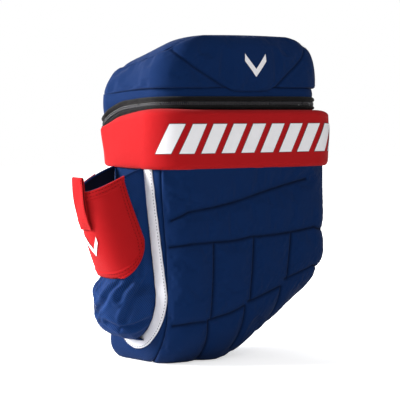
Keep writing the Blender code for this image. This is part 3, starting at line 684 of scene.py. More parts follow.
def base_panel():
    """The base, whose rim runs up behind the lower edges of the other panels."""
    left, right, front, back, radius, _ = (float(a) for a in body_section(np.array(0.0)))
    xs = spread(left + 1, right + 1, 70)
    end = np.maximum(0, np.minimum(xs - left, right + 1 - xs))
    cut = radius * (1 - np.sqrt(1 - np.clip((radius - end) / radius, 0, 1) ** 2))
    crown = FRONT_CROWN * (1 - ((xs - (left + right) / 2) / ((right - left) / 2)) ** 2)
    share = spread(-0.03, 1.02, 46)
    low, high = front + cut - np.maximum(0, crown), back - cut
    y = low[:, None] + (high - low)[:, None] * share[None]
    x = xs[:, None] + 0 * y
    reach = np.minimum(np.minimum(x - left, right + 1 - x), np.minimum(y - low[:, None], high[:, None] - y))
    lift = 1.5 - 3.6 * smooth((reach + 1) / 7)
    points = grounded(settle(x, y, lift))
    return sheet("base_cloth", points, blue_flat, "bag", slot="blue_fabric", replaces=("base_panel",))


# ---------------------------------------------------------------- wrist band

BAND_THICK, BAND_END_THICK = 10.0, 5.0
BAND_EDGE = (BAND_LOW + 1, BODY_TOP - 1)


def band_point(u, share, depth):
    """Point of the band's padding. share runs up the band, depth from the bag out to the band's face."""
    u, share, depth = np.broadcast_arrays(np.asarray(u, float), np.asarray(share, float), np.asarray(depth, float))
    away = np.abs(u - 0.5)
    thick = BAND_THICK + (BAND_END_THICK - BAND_THICK) * smooth((away - 1.6) / 1.5)
    low = BAND_EDGE[0] + 2.5 * smooth((away - 1.8) / 1.3)
    high = zip_height(u, BAND_EDGE[1]) + 3 * np.exp(-(((u + 0.7) / 0.8) ** 2))
    z = low + (high - low) * share
    thick = thick + smooth((-1.2 - u) / 1.0) * (1.5 - 5.0 * (1 - share))
    grip = smooth((away - 2.5) / 0.6)[..., None]
    hoop = skin(u, z, band_section, np.maximum(thick, 1.8))
    outside = hoop * (1 - grip) + skin(u, z, offset=BAND_END_THICK) * grip
    inside = skin(u, z, offset=1.0)
    return inside + (outside - inside) * depth[..., None]


def wrist_band():
    stations = np.concatenate([spread(-2.64, -2, 16)[:-1], spread(-2, -1, 36)[:-1], spread(-1, 0, 26)[:-1]])
    stations = np.concatenate([stations, spread(0, 1, 70), np.sort(1 - stations)])
    angle = np.radians(spread(-90, 90, 17))
    roll = 8.0 / (BAND_EDGE[1] - BAND_EDGE[0])
    low = roll * (1 + np.sin(angle[:8]))
    shares = np.concatenate([[0.0], low[1:], spread(roll, 1 - roll, 30), 1 - low[1:][::-1], [1.0]])
    depth = np.sqrt(np.maximum(0, 1 - (1 - np.clip(np.minimum(shares, 1 - shares) / roll, 0, 1)) ** 2))
    depth = 0.42 + 0.58 * depth
    u, share = np.meshgrid(stations, shares)
    ends = smooth(np.minimum(u - stations[0], stations[-1] - u) / 0.1)
    d = depth[:, None] * (0.35 + 0.65 * np.sqrt(ends))
    crown = 1 + 0.06 * np.sin(np.pi * share)
    outer = band_point(u, share, d * crown)
    inner = band_point(u, share, 0 * u)
    slab("band_padding", outer, inner, red_cloth, "bag", slot="red_fabric", replaces=("wrist_band",))


BAR_PITCH, BAR_WIDTH, BAR_LEAN = 33.0, 22.0, 20.0
BAR_SPAN = (297.0, 337.0)


def band_station(run):
    """Station of the band's face at a distance along it from the left end of its front run."""
    corner = (FRONT_RADIUS + BAND_THICK) * math.pi / 2
    straight = 2 * (HALF_WIDTH - FRONT_RADIUS)
    return np.where(run < 0, run / corner, np.where(run < straight, run / straight, 1 + (run - straight) / corner))


def band_bars():
    """Slanted white bars printed on the band."""
    low, high = BAR_SPAN
    for index in range(10):
        start = -50 + index * BAR_PITCH
        for kind, grow, lift, material in (("bar", 0.0, 0.55, white_print), ("bar_edge", 0.7, 0.3, grey_thread)):
            t, s = np.meshgrid(spread(-grow, high - low + grow, 22), spread(-grow, BAR_WIDTH + grow, 14), indexing="ij")
            run = start + s + BAR_LEAN * t / (high - low)
            share = (low + t - BAND_EDGE[0]) / (BAND_EDGE[1] - BAND_EDGE[0])
            crown = 1 + 0.06 * np.sin(np.pi * share)
            lifted = crown + lift / BAND_THICK
            sheet(f"band_{kind}_{index}", band_point(band_station(run), share, lifted), material, "bag", slot="white_tape")


# ---------------------------------------------------------------- small repeated pieces


def scatter(name, shape, spots, axes, material, body, **options):
    """Copies of a small shape (points, faces) at spots, each turned to its own three axes."""
    points, faces = shape
    placed = spots[:, None] + np.einsum("nk,mkc->mnc", points, axes)
    faces = [[v + i * len(points) for v in face] for i in range(len(spots)) for face in faces]
    uvs = np.tile(points[:, :2], (len(spots), 1))
    return add_object(name, placed.reshape(-1, 3), faces, material, body, uvs=uvs, **options)


def shape_of(build):
    points = np.array([v.co[:] for v in build.verts])
    faces = [[v.index for v in f.verts] for f in build.faces]
    build.free()
    return points, faces


def rounded_block(size, bevel, segments=2):
    build = bmesh.new()
    bmesh.ops.create_cube(build, size=1.0)
    bmesh.ops.scale(build, vec=Vector(size), verts=build.verts)
    bmesh.ops.bevel(build, geom=build.edges[:], offset=bevel, segments=segments, affect="EDGES", profile=0.5)
    build.verts.index_update()
    return shape_of(build)


def stitch_shape(length, width):
    """One stitch: a short thread that dips into the cloth at both ends."""
    build = bmesh.new()
    bmesh.ops.create_uvsphere(build, u_segments=8, v_segments=6, radius=0.5)
    for vert in build.verts:
        x, y, z = vert.co
        vert.co = (z * length, x * width, y * width * 0.8)
    build.verts.index_update()
    return shape_of(build)


def along_path(low, high, pitch, start=0.5):
    """Spots at an even pitch along a path, with the path's direction, the side direction and the outward direction.
    high is the same path a little further out from the cloth."""
    steps = np.linalg.norm(np.diff(low, axis=0), axis=-1)
    run = np.concatenate([[0.0], np.cumsum(steps)])
    places = np.arange(start * pitch, run[-1], pitch)

    def at(values):
        return np.stack([np.interp(places, run, column) for column in values.T], -1)

    spots = at(low)
    ahead = at(np.gradient(low, axis=0))
    ahead /= np.linalg.norm(ahead, axis=-1, keepdims=True)
    out = at(high) - spots
    out -= ahead * (out * ahead).sum(-1, keepdims=True)
    out /= np.linalg.norm(out, axis=-1, keepdims=True)
    return spots, np.stack([ahead, np.cross(out, ahead), out], 1)


def stitches(name, place, material, body, pitch=3.2, length=2.2, width=0.55, **options):
    """A row of stitches along place(offset), which gives the path at an offset from the cloth."""
    spots, axes = along_path(place(0.1), place(1.1), pitch)
    return scatter(name, stitch_shape(length, width), spots, axes, material, body, **options)


# ---------------------------------------------------------------- lid

LID_SEAM = {"front": 463.5, "side": 444.0, "back": 457.0}
LID_PAD = 8.0
LID_CREASES = (
    ((-0.56, 445), (-0.25, 432), (0, 422), (0.31, 386)),
    ((0.7, 386), (0.84, 410), (1.0, 433), (1.2, 444)),
)


def seam_height(u):
    """Height of the seam between the lid's wall and its top, at stations u."""
    away = np.abs((u - 0.5 + 4) % 8 - 4)
    high = LID_SEAM["front"] + (LID_SEAM["side"] - LID_SEAM["front"]) * smooth((away - 0.5) / 1.0)
    return high + (LID_SEAM["back"] - LID_SEAM["side"]) * smooth((away - 2.5) / 1.0)


def lid_puff(u, z):
    """The lid hangs out over the strip at the corner behind the pocket, and slopes in above it."""
    u = (u + 4) % 8 - 4
    corner = np.exp(-(((u + 2.45) / 0.75) ** 2))
    slope = np.exp(-(((u + 2.2) / 1.0) ** 2)) * smooth((z - 386) / 46)
    right = np.exp(-(((u - 1.5) / 0.7) ** 2)) * (1 - smooth((z - 410) / 40))
    return 1.5 * corner * (1 - smooth((z - 392) / 34)) - 5.5 * slope - 3.5 * right + 0.8


def shield(u):
    """One between the two front creases, where the lid's wall comes down lower."""
    return smooth((u - 0.25) / 0.12) * (1 - smooth((u - 0.62) / 0.12))


def lid_stations():
    parts = [spread(-3, -2, 22), spread(-2, -1, 34), spread(-1, 0, 34), spread(0, 1, 130), spread(1, 2, 34)]
    parts += [spread(2, 3, 34), spread(3, 4, 22), spread(4, 5, 50)]
    return np.concatenate([part[:-1] for part in parts])


def crease_distance(u, z):
    return nearest(skin(u, z, lid_section), on_skin(LID_CREASES, lid_section))


def lid_face(u, z):
    """How far the lid's wall stands off its shape: soft panels with sharp sewn creases."""
    base = skin(u, z, lid_section)
    to_crease = crease_distance(u, z)
    crease = 1.8 * (1 - np.exp(-((to_crease / 13) ** 2))) - 2.8 * np.exp(-((to_crease / 1.7) ** 2))
    height = z - LID_LOW
    return lid_puff(u, z) + crease + 1.2 * shield(u) + wrinkles(base, 34, 0.35, 1.0) * smooth(height / 12)


def lid_wall():
    stations = lid_stations()
    top = seam_height(stations)
    rise = np.concatenate([[0.02, 0.0, 0.0, 0.006], spread(0.02, 1, 62)])
    drawn = np.concatenate([[-LID_PAD, -LID_PAD * 0.6, -2.4, -0.9], np.zeros(62)])
    u = np.broadcast_to(stations, (len(rise), len(stations)))
    hem = LID_LOW + 0.3 - 4.5 * shield(stations)
    z = hem + (top - hem)[None] * rise[:, None]
    offset = lid_face(u, z) + drawn[:, None]
    offset += edge_roll(top[None] - z, 3.0, 1.6) + edge_roll(z - hem, 3.5, 1.6)
    options = {"slot": "blue_fabric", "replaces": ("lid_wall",)}
    points = skin(u, z, lid_section, offset)
    points[4:] += padding(points[4:], crease_distance(u, z)[4:] < 3, 1.5, 2.5)
    obj = sheet("lid_wall_cloth", points, blue_cloth, "lid", closed=True, **options)
    # painted shade along the lid's sewn creases
    paint_seam_shade(obj, 0.8 * np.exp(-((crease_distance(u, z) / 1.5) ** 2)))
    return obj


def lid_top_rings(offset, curl_rows=10, inner_rows=16):
    stations = lid_stations()
    low = seam_height(stations)
    rows = []
    for share in spread(0, 1, curl_rows):
        z = LID_TOP - 0.02 - (LID_TOP - 0.02 - low) * (1 - share) ** 2
        drawn = -1.6 * (1 - smooth(share / 0.22)) if offset == 0 else 0
        rows.append(skin(stations, z, lid_section, offset + lid_puff(stations, z) + drawn))
    rim = rows[-1]
    centre = rim.mean(0)
    for share in spread(1, 0, inner_rows)[1:-1]:
        lift = np.array([0, 0, 2.5 * (1 - share * share)])
        rows.append(centre + (rim - centre) * share + lift)
    points = np.stack(rows)
    dip = wrinkles(points, 40, 0.5, 3.0)
    points[curl_rows:, :, 2] += dip[curl_rows:]
    return points


def capped(name, points, material, body, **options):
    """A stack of rings closed by a point at its middle, with level texture coordinates."""
    rows, columns = points.shape[:2]
    tip = points[-1].mean(0)
    flat = np.concatenate([points.reshape(-1, 3), tip[None]])
    faces = grid_faces(rows, columns, True)
    last = (rows - 1) * columns
    faces += [[last + j, last + (j + 1) % columns, rows * columns] for j in range(columns)]
    return add_object(name, flat, faces, material, body, uvs=flat[:, :2], **options)


def lid_top():
    capped("lid_top_cloth", lid_top_rings(0), blue_cloth, "lid", slot="blue_fabric", replaces=("lid_top",))
    stations = lid_stations()
    closed = np.append(stations, stations[0] + 8)
    rib = skin(closed, seam_height(closed), lid_section, lid_puff(closed, seam_height(closed)) - 0.4)
    tube("lid_seam_piping", rib[:-1], 0.75, blue_flat, "lid", sides=8, closed=True, slot="blue_fabric")

    def beside(shift, lift):
        z = seam_height(closed) - shift
        return lambda offset: skin(closed, z, lid_section, lid_face(closed, z) + lift + offset)

    stitches("lid_seam_stitches", beside(4.2, 0.0), blue_thread, "lid", slot="blue_fabric")


def lid_lining():
    stations = lid_stations()
    low = seam_height(stations)
    levels = [LID_LOW + 1.5 + (low - LID_LOW - 1.5) * t for t in spread(0, 1, 10)]
    rows = [skin(stations, z, lid_section, np.minimum(0, lid_puff(stations, z)) - LID_PAD) for z in levels]
    top = lid_top_rings(-LID_PAD, 6, 8)
    points = np.concatenate([np.stack(rows), top[1:]])
    capped("lid_lining", points, lining_cloth, "lid", slot="liner")


def lid_strip():
    """Plain cloth between the zip's upper tape and the lid's padding."""
    parts = [spread(-2.48, -2, 14)[:-1], spread(-2, -1, 30)[:-1], spread(-1, 0, 24)[:-1], spread(0, 0.5, 24)]
    stations = np.concatenate(parts)
    stations = np.concatenate([stations, np.sort(1 - stations)[1:]])
    share = spread(0, 1, 9)
    u, t = np.meshgrid(stations, share)
    low = zip_height(u, STRIP_LOW - 0.6)
    z = low + (LID_LOW + 1.5 - low) * t
    swell = 1.3 * np.sin(np.pi * t) + zip_bulge(u) + lid_puff(u, z) * t * 0.6
    base = skin(u, z, strip_section)
    outer = skin(u, z, strip_section, swell + wrinkles(base, 16, 0.35, 5.0))
    inner = skin(u, z, strip_section, swell - 2.6)
    slab("lid_strip_cloth", outer, inner, blue_flat, "lid", slot="blue_fabric", replaces=("lid_strip",))
    u, z = np.meshgrid(spread(3.49, 5.51, 90), spread(ZIP_Z + 0.8, LID_LOW + 1.0, 12))
    t = (z - ZIP_Z) / (LID_LOW - ZIP_Z)
    swell = 1.4 * np.sin(np.pi * np.clip(t, 0, 1)) + wrinkles(skin(u, z, strip_section), 18, 0.3, 6.0) + zip_bulge(u)
    outer = skin(u, z, strip_section, swell)
    inner = skin(u, z, strip_section, swell - 2.8)
    slab("lid_back_cloth", outer, inner, blue_flat, "lid", slot="blue_fabric", replaces=("lid_back",))


def chevron(name, place, size, stroke, material, body, **options):
    """A plain V. place turns millimetres across and up from its point into points of the surface."""
    wide, tall = size
    p, q = np.meshgrid(spread(-1, 1, 81), spread(0, 1, 12), indexing="ij")
    sheet(name, place(p * wide / 2, np.abs(p) * tall + q * stroke), material, body, **options)


def dropped(obj, outside, inside, lift):
    """Points where lines from outside to inside first meet the cloth, lifted off it by so many millimetres."""
    mesh = obj.data
    tree = BVHTree.FromPolygons([point.co for point in mesh.vertices], [list(face.vertices) for face in mesh.polygons])
    found = []
    for start, end in zip(outside.reshape(-1, 3) * MM, inside.reshape(-1, 3) * MM):
        hit, normal, _, _ = tree.ray_cast(Vector(start), Vector(end - start))
        found.append(hit + (Vector(start) - hit).normalized() * lift * MM)
    return np.array(found).reshape(outside.shape) / MM


def lid_mark(wall):
    """A white chevron printed on the lid, laid on its wall as that puffs out."""

    def place(across, up):
        u = 0.53 + across / (2 * (HALF_WIDTH - SHOULDER - FRONT_RADIUS))
        z = 404 + up
        return dropped(wall, skin(u, z, lid_section, 20.0), skin(u, z, lid_section, 0.0), 0.4)

    chevron("lid_chevron", place, (38.0, 22.0), 11.0, white_print, "lid", slot="white_tape")


# ---------------------------------------------------------------- zip

TOOTH_PITCH = 2.8


def zip_height(u, z):
    """The zip runs lower where it rounds the corner behind the pocket."""
    return z - 12 * smooth((0.5 - u - 2.1) / 0.8)


def zip_bulge(u):
    """The zip and the cloth beside it stand out at the corner behind the pocket."""
    return 7.5 * np.exp(-((((u + 4) % 8 - 1.5) / 0.7) ** 2))


def zip_stations(count=240):
    """Stations spaced evenly along the zip."""
    u = spread(-2.48, 3.48, 1200)
    path = skin(u, ZIP_Z + 0 * u, strip_section)
    run = np.concatenate([[0.0], np.cumsum(np.linalg.norm(np.diff(path, axis=0), axis=-1))])
    return np.interp(spread(0, run[-1], count), run, u)


def zip_skin(u, z, offset):
    return skin(u, zip_height(u, z), strip_section, offset + zip_bulge(u))


def zip_tape(name, low, high, body, replaces):
    """A tape whose cloth rolls over, with a bead along the teeth and a wavy outer edge."""
    u, t = np.meshgrid(zip_stations(), spread(0, 1, 13))
    wave = 0.5 * np.sin(u * 21) + 0.35 * np.sin(u * 47 + 1)
    side = low(u) if callable(low) else low + 0 * u
    edge = high(u) if callable(high) else high + 0 * u
    z = side + (edge - side) * t
    roll = 3.4 * np.sin(np.pi * np.clip(t, 0, 1)) ** 0.7
    outer = zip_skin(u, z, 0.5 + roll + wave * 0.45 * np.sin(np.pi * t))
    inner = zip_skin(u, z, -1.0)
    slab(name, outer, inner, zip_cloth, body, slot="zip_tape", replaces=replaces)


def zip_parts():
    left = lambda u: smooth((0.2 - u) / 0.8)
    zip_tape("zip_tape_lower_cloth", lambda u: BODY_TOP + 1.0 - 1.5 * left(u), ZIP_Z - 2.4, "bag", ("zip_tape_lower",))
    zip_tape("zip_tape_upper_cloth", ZIP_Z + 2.4, STRIP_LOW + 0.6, "lid", ("zip_tape_upper",))
    u = zip_stations(900)
    tooth = rounded_block((1.4, 2.1, 2.6), 0.4)
    for name, shift, side, body in (("lower", 0.5, -1, "bag"), ("upper", 0.5, 1, "lid")):
        low = zip_skin(u, ZIP_Z + side * 1.15 + 0 * u, 1.4)
        high = zip_skin(u, ZIP_Z + side * 1.15 + 0 * u, 2.4)
        spots, axes = along_path(low, high, TOOTH_PITCH, shift)
        scatter(
            f"zip_teeth_{name}_row",
            tooth,
            spots,
            axes,
            tooth_plastic,
            body,
            smooth_angle=40,
            slot="zip_teeth",
            replaces=(f"zip_teeth_{name}",),
        )
    for name, z, body in (("lower", BODY_TOP + 2.6, "bag"), ("upper", STRIP_LOW - 1.6, "lid")):
        stitches(
            f"zip_stitches_{name}",
            lambda offset, z=z: zip_skin(u, z + 0 * u, 2.6 + offset),
            black_thread,
            body,
            pitch=3.0,
            length=2.0,
            width=0.45,
            slot="zip_tape",
        )


def hinge_cord():
    u = spread(3.62, 5.38, 80)
    path = skin(u, ZIP_Z + 0 * u, strip_section, 2.9)
    middle = path.mean(0)
    straight = np.stack([path[:, 0], np.full(len(u), middle[1]), np.full(len(u), middle[2])], -1)
    edge = skin(np.full(1, 4.5), np.full(1, ZIP_Z), strip_section, 2.9)[0]
    straight[:, 1] = edge[1]
    straight[:, 2] = edge[2]
    inside = np.abs(straight[:, 0] - edge[0]) < HALF_WIDTH - SHOULDER - BACK_RADIUS - 7
    u, z = np.meshgrid(spread(3.56, 5.44, 60), spread(ZIP_Z - 10, ZIP_Z + 10, 21))
    fold = skin(u, z, strip_section, -1.2 - 0.8 * np.cos(np.pi * (z - ZIP_Z) / 20))
    cloth = slab("hinge_cloth", fold, fold - np.array([0, 0.8, 0]), blue_flat, None, slot="blue_fabric")
    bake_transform(cloth)
    tube("hinge_piping", straight[inside], 2.3, blue_flat, "bag", sides=14, slot="blue_fabric", replaces=("hinge_cord",))


# ---------------------------------------------------------------- side pocket and its trim

POCKET_LOW, POCKET_TOP = 37.0, 243.0
TAPE_WIDTH, TAPE_TOP, TAPE_BEND, TAPE_FRONT, TAPE_BACK = 18.0, 276.0, (100.0, 72.0), (-41.0, -65.0), 56.0
COLLAR_THICK, TAB_SIZE, TAB_FOOT = 2.6, (3.0, 27.0, 74.0), 192.0


def tape_point(t, across):
    """Depth and height of the U-shaped tape: t runs down the front leg, round the bottom and up the back leg."""
    bend, reach = TAPE_BEND
    leg = TAPE_TOP - bend
    centre, radius = (TAPE_FRONT[1] + TAPE_BACK) / 2, (TAPE_BACK - TAPE_FRONT[1]) / 2
    arc = math.pi * (radius + reach) / 2
    travel = t * (2 * leg + arc)
    share = np.clip(travel / leg, 0, 1)
    angle = np.clip(math.pi * (travel - leg) / arc, 0, math.pi)
    down = travel < leg
    bent = (travel >= leg) & (travel < leg + arc)
    y = np.where(down, TAPE_FRONT[0] + (TAPE_FRONT[1] - TAPE_FRONT[0]) * share - across, TAPE_BACK + across)
    z = np.where(down, TAPE_TOP - travel, bend + travel - leg - arc)
    y = np.where(bent, centre - (radius + across) * np.cos(angle), y)
    z = np.where(bent, bend - (reach + across) * np.sin(angle), z)
    return y, z


def tape_skin(t, across, offset):
    y, z = tape_point(t, across)
    return side_skin(y, z, offset)


def pocket_tape():
    t, across = np.meshgrid(spread(0, 1, 420), spread(-TAPE_WIDTH / 2, TAPE_WIDTH / 2, 15), indexing="ij")
    edge = np.sqrt(np.maximum(0, 1 - np.clip(np.abs(across) / (TAPE_WIDTH / 2 + 0.1), 0, 1) ** 8))
    ripple = 0.25 * np.sin(t * 160) * np.sin(across * 0.5) + 0.2 * np.sin(t * 61 + 2)
    dimple = -0.35 * np.exp(-(((across - TAPE_WIDTH / 2 + 2) / 0.9) ** 2))
    dimple -= 0.35 * np.exp(-(((across + TAPE_WIDTH / 2 - 2) / 0.9) ** 2))
    outer = tape_skin(t, across, 1.6 + 1.5 * edge + ripple + dimple)
    inner = tape_skin(t, across, 1.2 + ripple)
    slab("pocket_tape_cloth", outer, inner, white_tape, "bag", slot="white_tape", replaces=("pocket_tape",))
    line = spread(0.001, 0.999, 1400)
    for name, side in (("outer", 1), ("inner", -1)):
        shift = side * (TAPE_WIDTH / 2 - 2)
        stitches(
            f"tape_stitches_{name}",
            lambda offset, shift=shift: tape_skin(line, shift + 0 * line, 3.15 + offset),
            grey_thread if side > 0 else white_tape,
            "bag",
            pitch=4.6,
            length=2.4,
            width=1.0,
            slot="white_tape",
        )


def pocket_bulge(z):
    """How far the pocket stands out: a full belly that hangs over its seam, a pinch, and a flared mouth."""
    belly = (59 - 0.12 * np.clip(100 - z, 0, 60)) * (1 - np.clip((86 - z) / 51, 0, 1) ** 4) ** 0.5
    flare = 32 * np.sin(np.pi / 2 * np.clip((z - 125) / 120, 0, 1) ** 0.8)
    return belly - 15 * smooth((z - 101) / 25) + flare


def pocket_edges(z, out):
    """Depths of the pocket's front and back edges at height z. The belly keeps its width lower than the seam does."""
    bend, reach = TAPE_BEND
    inset = TAPE_WIDTH / 2 + 1.5
    lean = (TAPE_FRONT[0] - TAPE_FRONT[1]) * np.clip((z - bend) / (TAPE_TOP - bend), 0, 1)
    front, back = TAPE_FRONT[1] + lean + inset, TAPE_BACK - inset
    narrowing = np.sqrt(1 - np.clip((bend - z) / (reach - inset + 1), 0, 1) ** 2)
    narrowing = narrowing + (1 - narrowing) * 0.72 * out**0.6
    middle = (front + back) / 2
    return middle - (middle - front) * narrowing, middle + (back - middle) * narrowing


def pocket_raw(share, z):
    angle = share * math.pi / 2
    out = np.maximum(0, np.cos(angle)) ** 0.85
    front, back = pocket_edges(z, out)
    across = np.sign(angle) * np.abs(np.sin(angle)) ** 0.85
    base = side_skin((front + back) / 2 + across * (back - front) / 2, z, 2.4)
    return base - np.stack([pocket_bulge(z) * out, 0 * out, 0 * out], -1)


def pocket_point(share, z, offset=0.0):
    """Point of the pocket's skin. share runs from -1 at the front edge to 1 at the back edge."""
    share, z, offset = np.broadcast_arrays(np.asarray(share, float), np.asarray(z, float), np.asarray(offset, float))
    low, high = np.maximum(-1, share - 1e-3), np.minimum(1, share + 1e-3)
    along = pocket_raw(high, z) - pocket_raw(low, z)
    up = pocket_raw(share, z + 0.5) - pocket_raw(share, z - 0.5)
    normal = np.cross(up, along)
    normal /= np.linalg.norm(normal, axis=-1, keepdims=True)
    return pocket_raw(share, z) + normal * offset[..., None]


def mouth_height(share):
    return POCKET_TOP + 32 * (1 - np.cos(share * math.pi / 2))


POCKET_FOLDS = (
    ((-0.98, 240), (-0.86, 214), (-0.8, 176)),
    ((-0.96, 190), (-0.86, 160), (-0.78, 130)),
    ((-0.9, 166), (-0.6, 130), (-0.42, 96)),
    ((-0.94, 128), (-0.7, 100), (-0.5, 66)),
    ((-0.97, 64), (-0.7, 56), (-0.35, 54), (-0.1, 60)),
    ((-0.3, 118), (-0.1, 92), (0.15, 72)),
    ((0.2, 120), (0.3, 92), (0.5, 70)),
    ((0.6, 150), (0.8, 110), (0.9, 80)),
)


def mesh_pocket():
    shares = np.sin(spread(-1, 1, 130) * math.pi / 2 * 0.92) / math.sin(math.pi / 2 * 0.92)
    t = spread(0, 1, 120)[:, None]
    top = mouth_height(shares)[None]
    z = POCKET_LOW + (top - POCKET_LOW) * t**1.05
    share = np.broadcast_to(shares, z.shape)
    base = pocket_point(share, z)
    tracks = np.concatenate([pocket_point(*walk(line).T) for line in POCKET_FOLDS])
    fold = nearest(base, tracks)
    edge = np.minimum(1, (1 - np.abs(share)) * 6)
    offset = 0.2 - 3.8 * np.exp(-((fold / 4.8) ** 2)) * edge + 1.6 * np.exp(-(((fold - 9) / 4) ** 2)) * edge
    offset = offset + wrinkles(base, 13, 0.5, 0.4) * edge
    under = np.exp(-(((share + 0.1) / 0.5) ** 2)) * smooth((z - 118) / 12)
    upper = smooth((z - 110) / 12)
    base = pocket_point(share, z, offset * (1 - upper) + np.minimum(offset, 0.4 - 0.6 * under) * upper)
    slack = billow(base, pin_edges(base.shape[:2]) | (z > 120), -0.03, 0.8, most=4.0)
    base = base + slack
    closing = []
    for step in spread(0.12, 0.96, 9):
        seam = side_skin(base[0, :, 1] + BASE_CENTRE[1], POCKET_LOW - 3 + 0 * shares, 1.0)
        ring = seam * (1 - step) + base[0] * step
        ring[:, 2] = base[0, :, 2] - 5.0 * (1 - step**2.5) * np.cos(shares * math.pi / 2) ** 0.5
        closing.append(ring)
    sheet(
        "pocket_mesh_cloth",
        np.concatenate([np.stack(closing), base]),
        pocket_mesh,
        "bag",
        slot="blue_mesh",
        replaces=("mesh_pocket",),
    )
    rim = pocket_point(shares, mouth_height(shares) + 0.5)
    tube("pocket_rim_binding", rim, 1.7, blue_flat, "bag", sides=10, slot="blue_fabric")


def pin_edges(shape):
    pinned = np.zeros(shape, bool)
    pinned[0] = pinned[-1] = True
    pinned[:, 0] = pinned[:, -1] = True
    return pinned


def billow(points, pinned, shrink, pressure, frames=14, most=6.0):
    """Moves of a sheet's points after a cloth simulation that holds the pinned ones. A negative shrink makes the
    cloth larger than its frame, so that it falls into folds."""
    rows, columns = points.shape[:2]
    mesh = bpy.data.meshes.new("trial")
    mesh.from_pydata((points.reshape(-1, 3) * MM).tolist(), [], grid_faces(rows, columns))
    trial = bpy.data.objects.new("trial", mesh)
    bpy.context.scene.collection.objects.link(trial)
    group = trial.vertex_groups.new(name="sewn")
    group.add(np.flatnonzero(pinned.ravel()).tolist(), 1.0, "REPLACE")
    cloth = trial.modifiers.new("cloth", "CLOTH")
    settings = cloth.settings
    settings.quality = 6
    settings.mass = 0.2
    settings.tension_stiffness = settings.compression_stiffness = 12
    settings.shear_stiffness = 6
    settings.bending_stiffness = 0.4
    settings.vertex_group_mass = "sewn"
    settings.shrink_min = shrink
    settings.use_pressure = pressure != 0
    settings.uniform_pressure_force = pressure
    settings.effector_weights.gravity = 0
    cloth.point_cache.frame_start = 1
    cloth.point_cache.frame_end = frames
    for frame in range(1, frames + 1):
        bpy.context.scene.frame_set(frame)
    found = trial.evaluated_get(bpy.context.evaluated_depsgraph_get()).data
    moved = np.empty(len(found.vertices) * 3, np.float32)
    found.vertices.foreach_get("co", moved)
    bpy.data.objects.remove(trial)
    bpy.context.scene.frame_set(1)
    shift = moved.reshape(points.shape) / MM - points
    size = np.linalg.norm(shift, axis=-1, keepdims=True)
    return shift * np.minimum(1, most / np.maximum(size, 1e-6))


def padding(points, pinned, pressure, most, step=4):
    """Cloth simulation of a padded panel on a coarser grid, with its moves spread back over the fine one. The panel
    is held where it is sewn and blown out in between."""
    rows, columns = (np.unique(np.append(np.arange(0, n, step), n - 1)) for n in points.shape[:2])
    held = np.zeros(pinned.shape, bool)
    for i, j in np.argwhere(pinned):
        held[max(0, i - step // 2) : i + step // 2 + 1, max(0, j - step // 2) : j + step // 2 + 1] = True
    coarse = points[np.ix_(rows, columns)]
    moved = billow(coarse, held[np.ix_(rows, columns)] | pin_edges(coarse.shape[:2]), -0.015, pressure, most=most)
    across = np.arange(points.shape[1])
    half = np.stack([[np.interp(across, columns, row[:, k]) for k in range(3)] for row in moved])
    down = np.arange(points.shape[0])
    fine = np.stack([[np.interp(down, rows, half[:, k, j]) for j in across] for k in range(3)])
    return fine.transpose(2, 1, 0)


def collar_place(across, level, offset):
    """Point of the collar: across runs round the pocket, level from its lower hem to the pocket's mouth."""
    bottom = 121 + 60 * (1 - (1 - np.abs(across) ** 2.5) ** 0.4)
    z = bottom + (mouth_height(0.8 * across) + 1 - bottom) * level
    share = across * (0.92 - 0.16 * np.clip((z - 177) / 80, 0, 1))
    return pocket_point(share, z, offset)


HEM, HEM_ROWS = 10.5, (3.6, 8.2)


def collar():
    across = np.sin(spread(-1, 1, 150) * math.pi / 2)
    level = spread(0, 1, 120)
    u, t = np.meshgrid(across, level)
    middle = collar_place(u, t, 1.3)
    side = lengths(middle, 1)
    rise = lengths(middle, 0)
    from_side = np.minimum(side, side[-1] - side)[None] + 0 * u
    from_top, from_low = (rise[-1] - rise)[:, None] + 0 * u, rise[:, None] + 0 * u
    hem = np.minimum(np.minimum(from_side, from_top), from_low)
    doubled = 1.3 * (1 - smooth((hem - HEM) / 0.9))
    bound = 0.8 * (1 - smooth((np.minimum(from_side, from_low) - 2.6) / 0.6))
    sewn = sum(np.exp(-(((hem - at) / 0.7) ** 2)) for at in HEM_ROWS)
    edge = np.sqrt(np.maximum(0, 1 - (1 - np.clip(hem / 1.4, 0, 1)) ** 2))
    offset = 1.3 + 0.9 + (1.0 + doubled + bound) * edge - 0.55 * sewn + wrinkles(middle, 24, 0.4, 7.0)
    outer = collar_place(u, t, offset)
    inner = collar_place(u, t, 1.5 + 0 * u)
    slab("collar_cloth", outer, inner, red_cloth, "bag", slot="red_fabric", replaces=("pocket_collar",))
    side_span, rise_span = side[-1], rise[-1]

    def path(kind, shift):
        if kind == "side":
            levels = spread(shift, rise_span - shift, 300) / rise_span
            return lambda offset: collar_place(-1 + 2 * shift / side_span + 0 * levels, levels, 3.9 + offset)
        if kind == "far":
            levels = spread(shift, rise_span - shift, 300) / rise_span
            return lambda offset: collar_place(1 - 2 * shift / side_span + 0 * levels, levels, 3.9 + offset)
        spans = spread(-1 + 2 * shift / side_span, 1 - 2 * shift / side_span, 500)
        at = 1 - shift / rise_span if kind == "top" else shift / rise_span
        return lambda offset: collar_place(spans, at + 0 * spans, 3.9 + offset)

    for kind in ("top", "low", "side", "far"):
        for index, shift in enumerate(HEM_ROWS):
            stitches(
                f"collar_stitches_{kind}_{index}",
                path(kind, shift),
                red_thread,
                "bag",
                pitch=4.8,
                length=2.4,
                width=1.1,
                slot="red_fabric",
            )


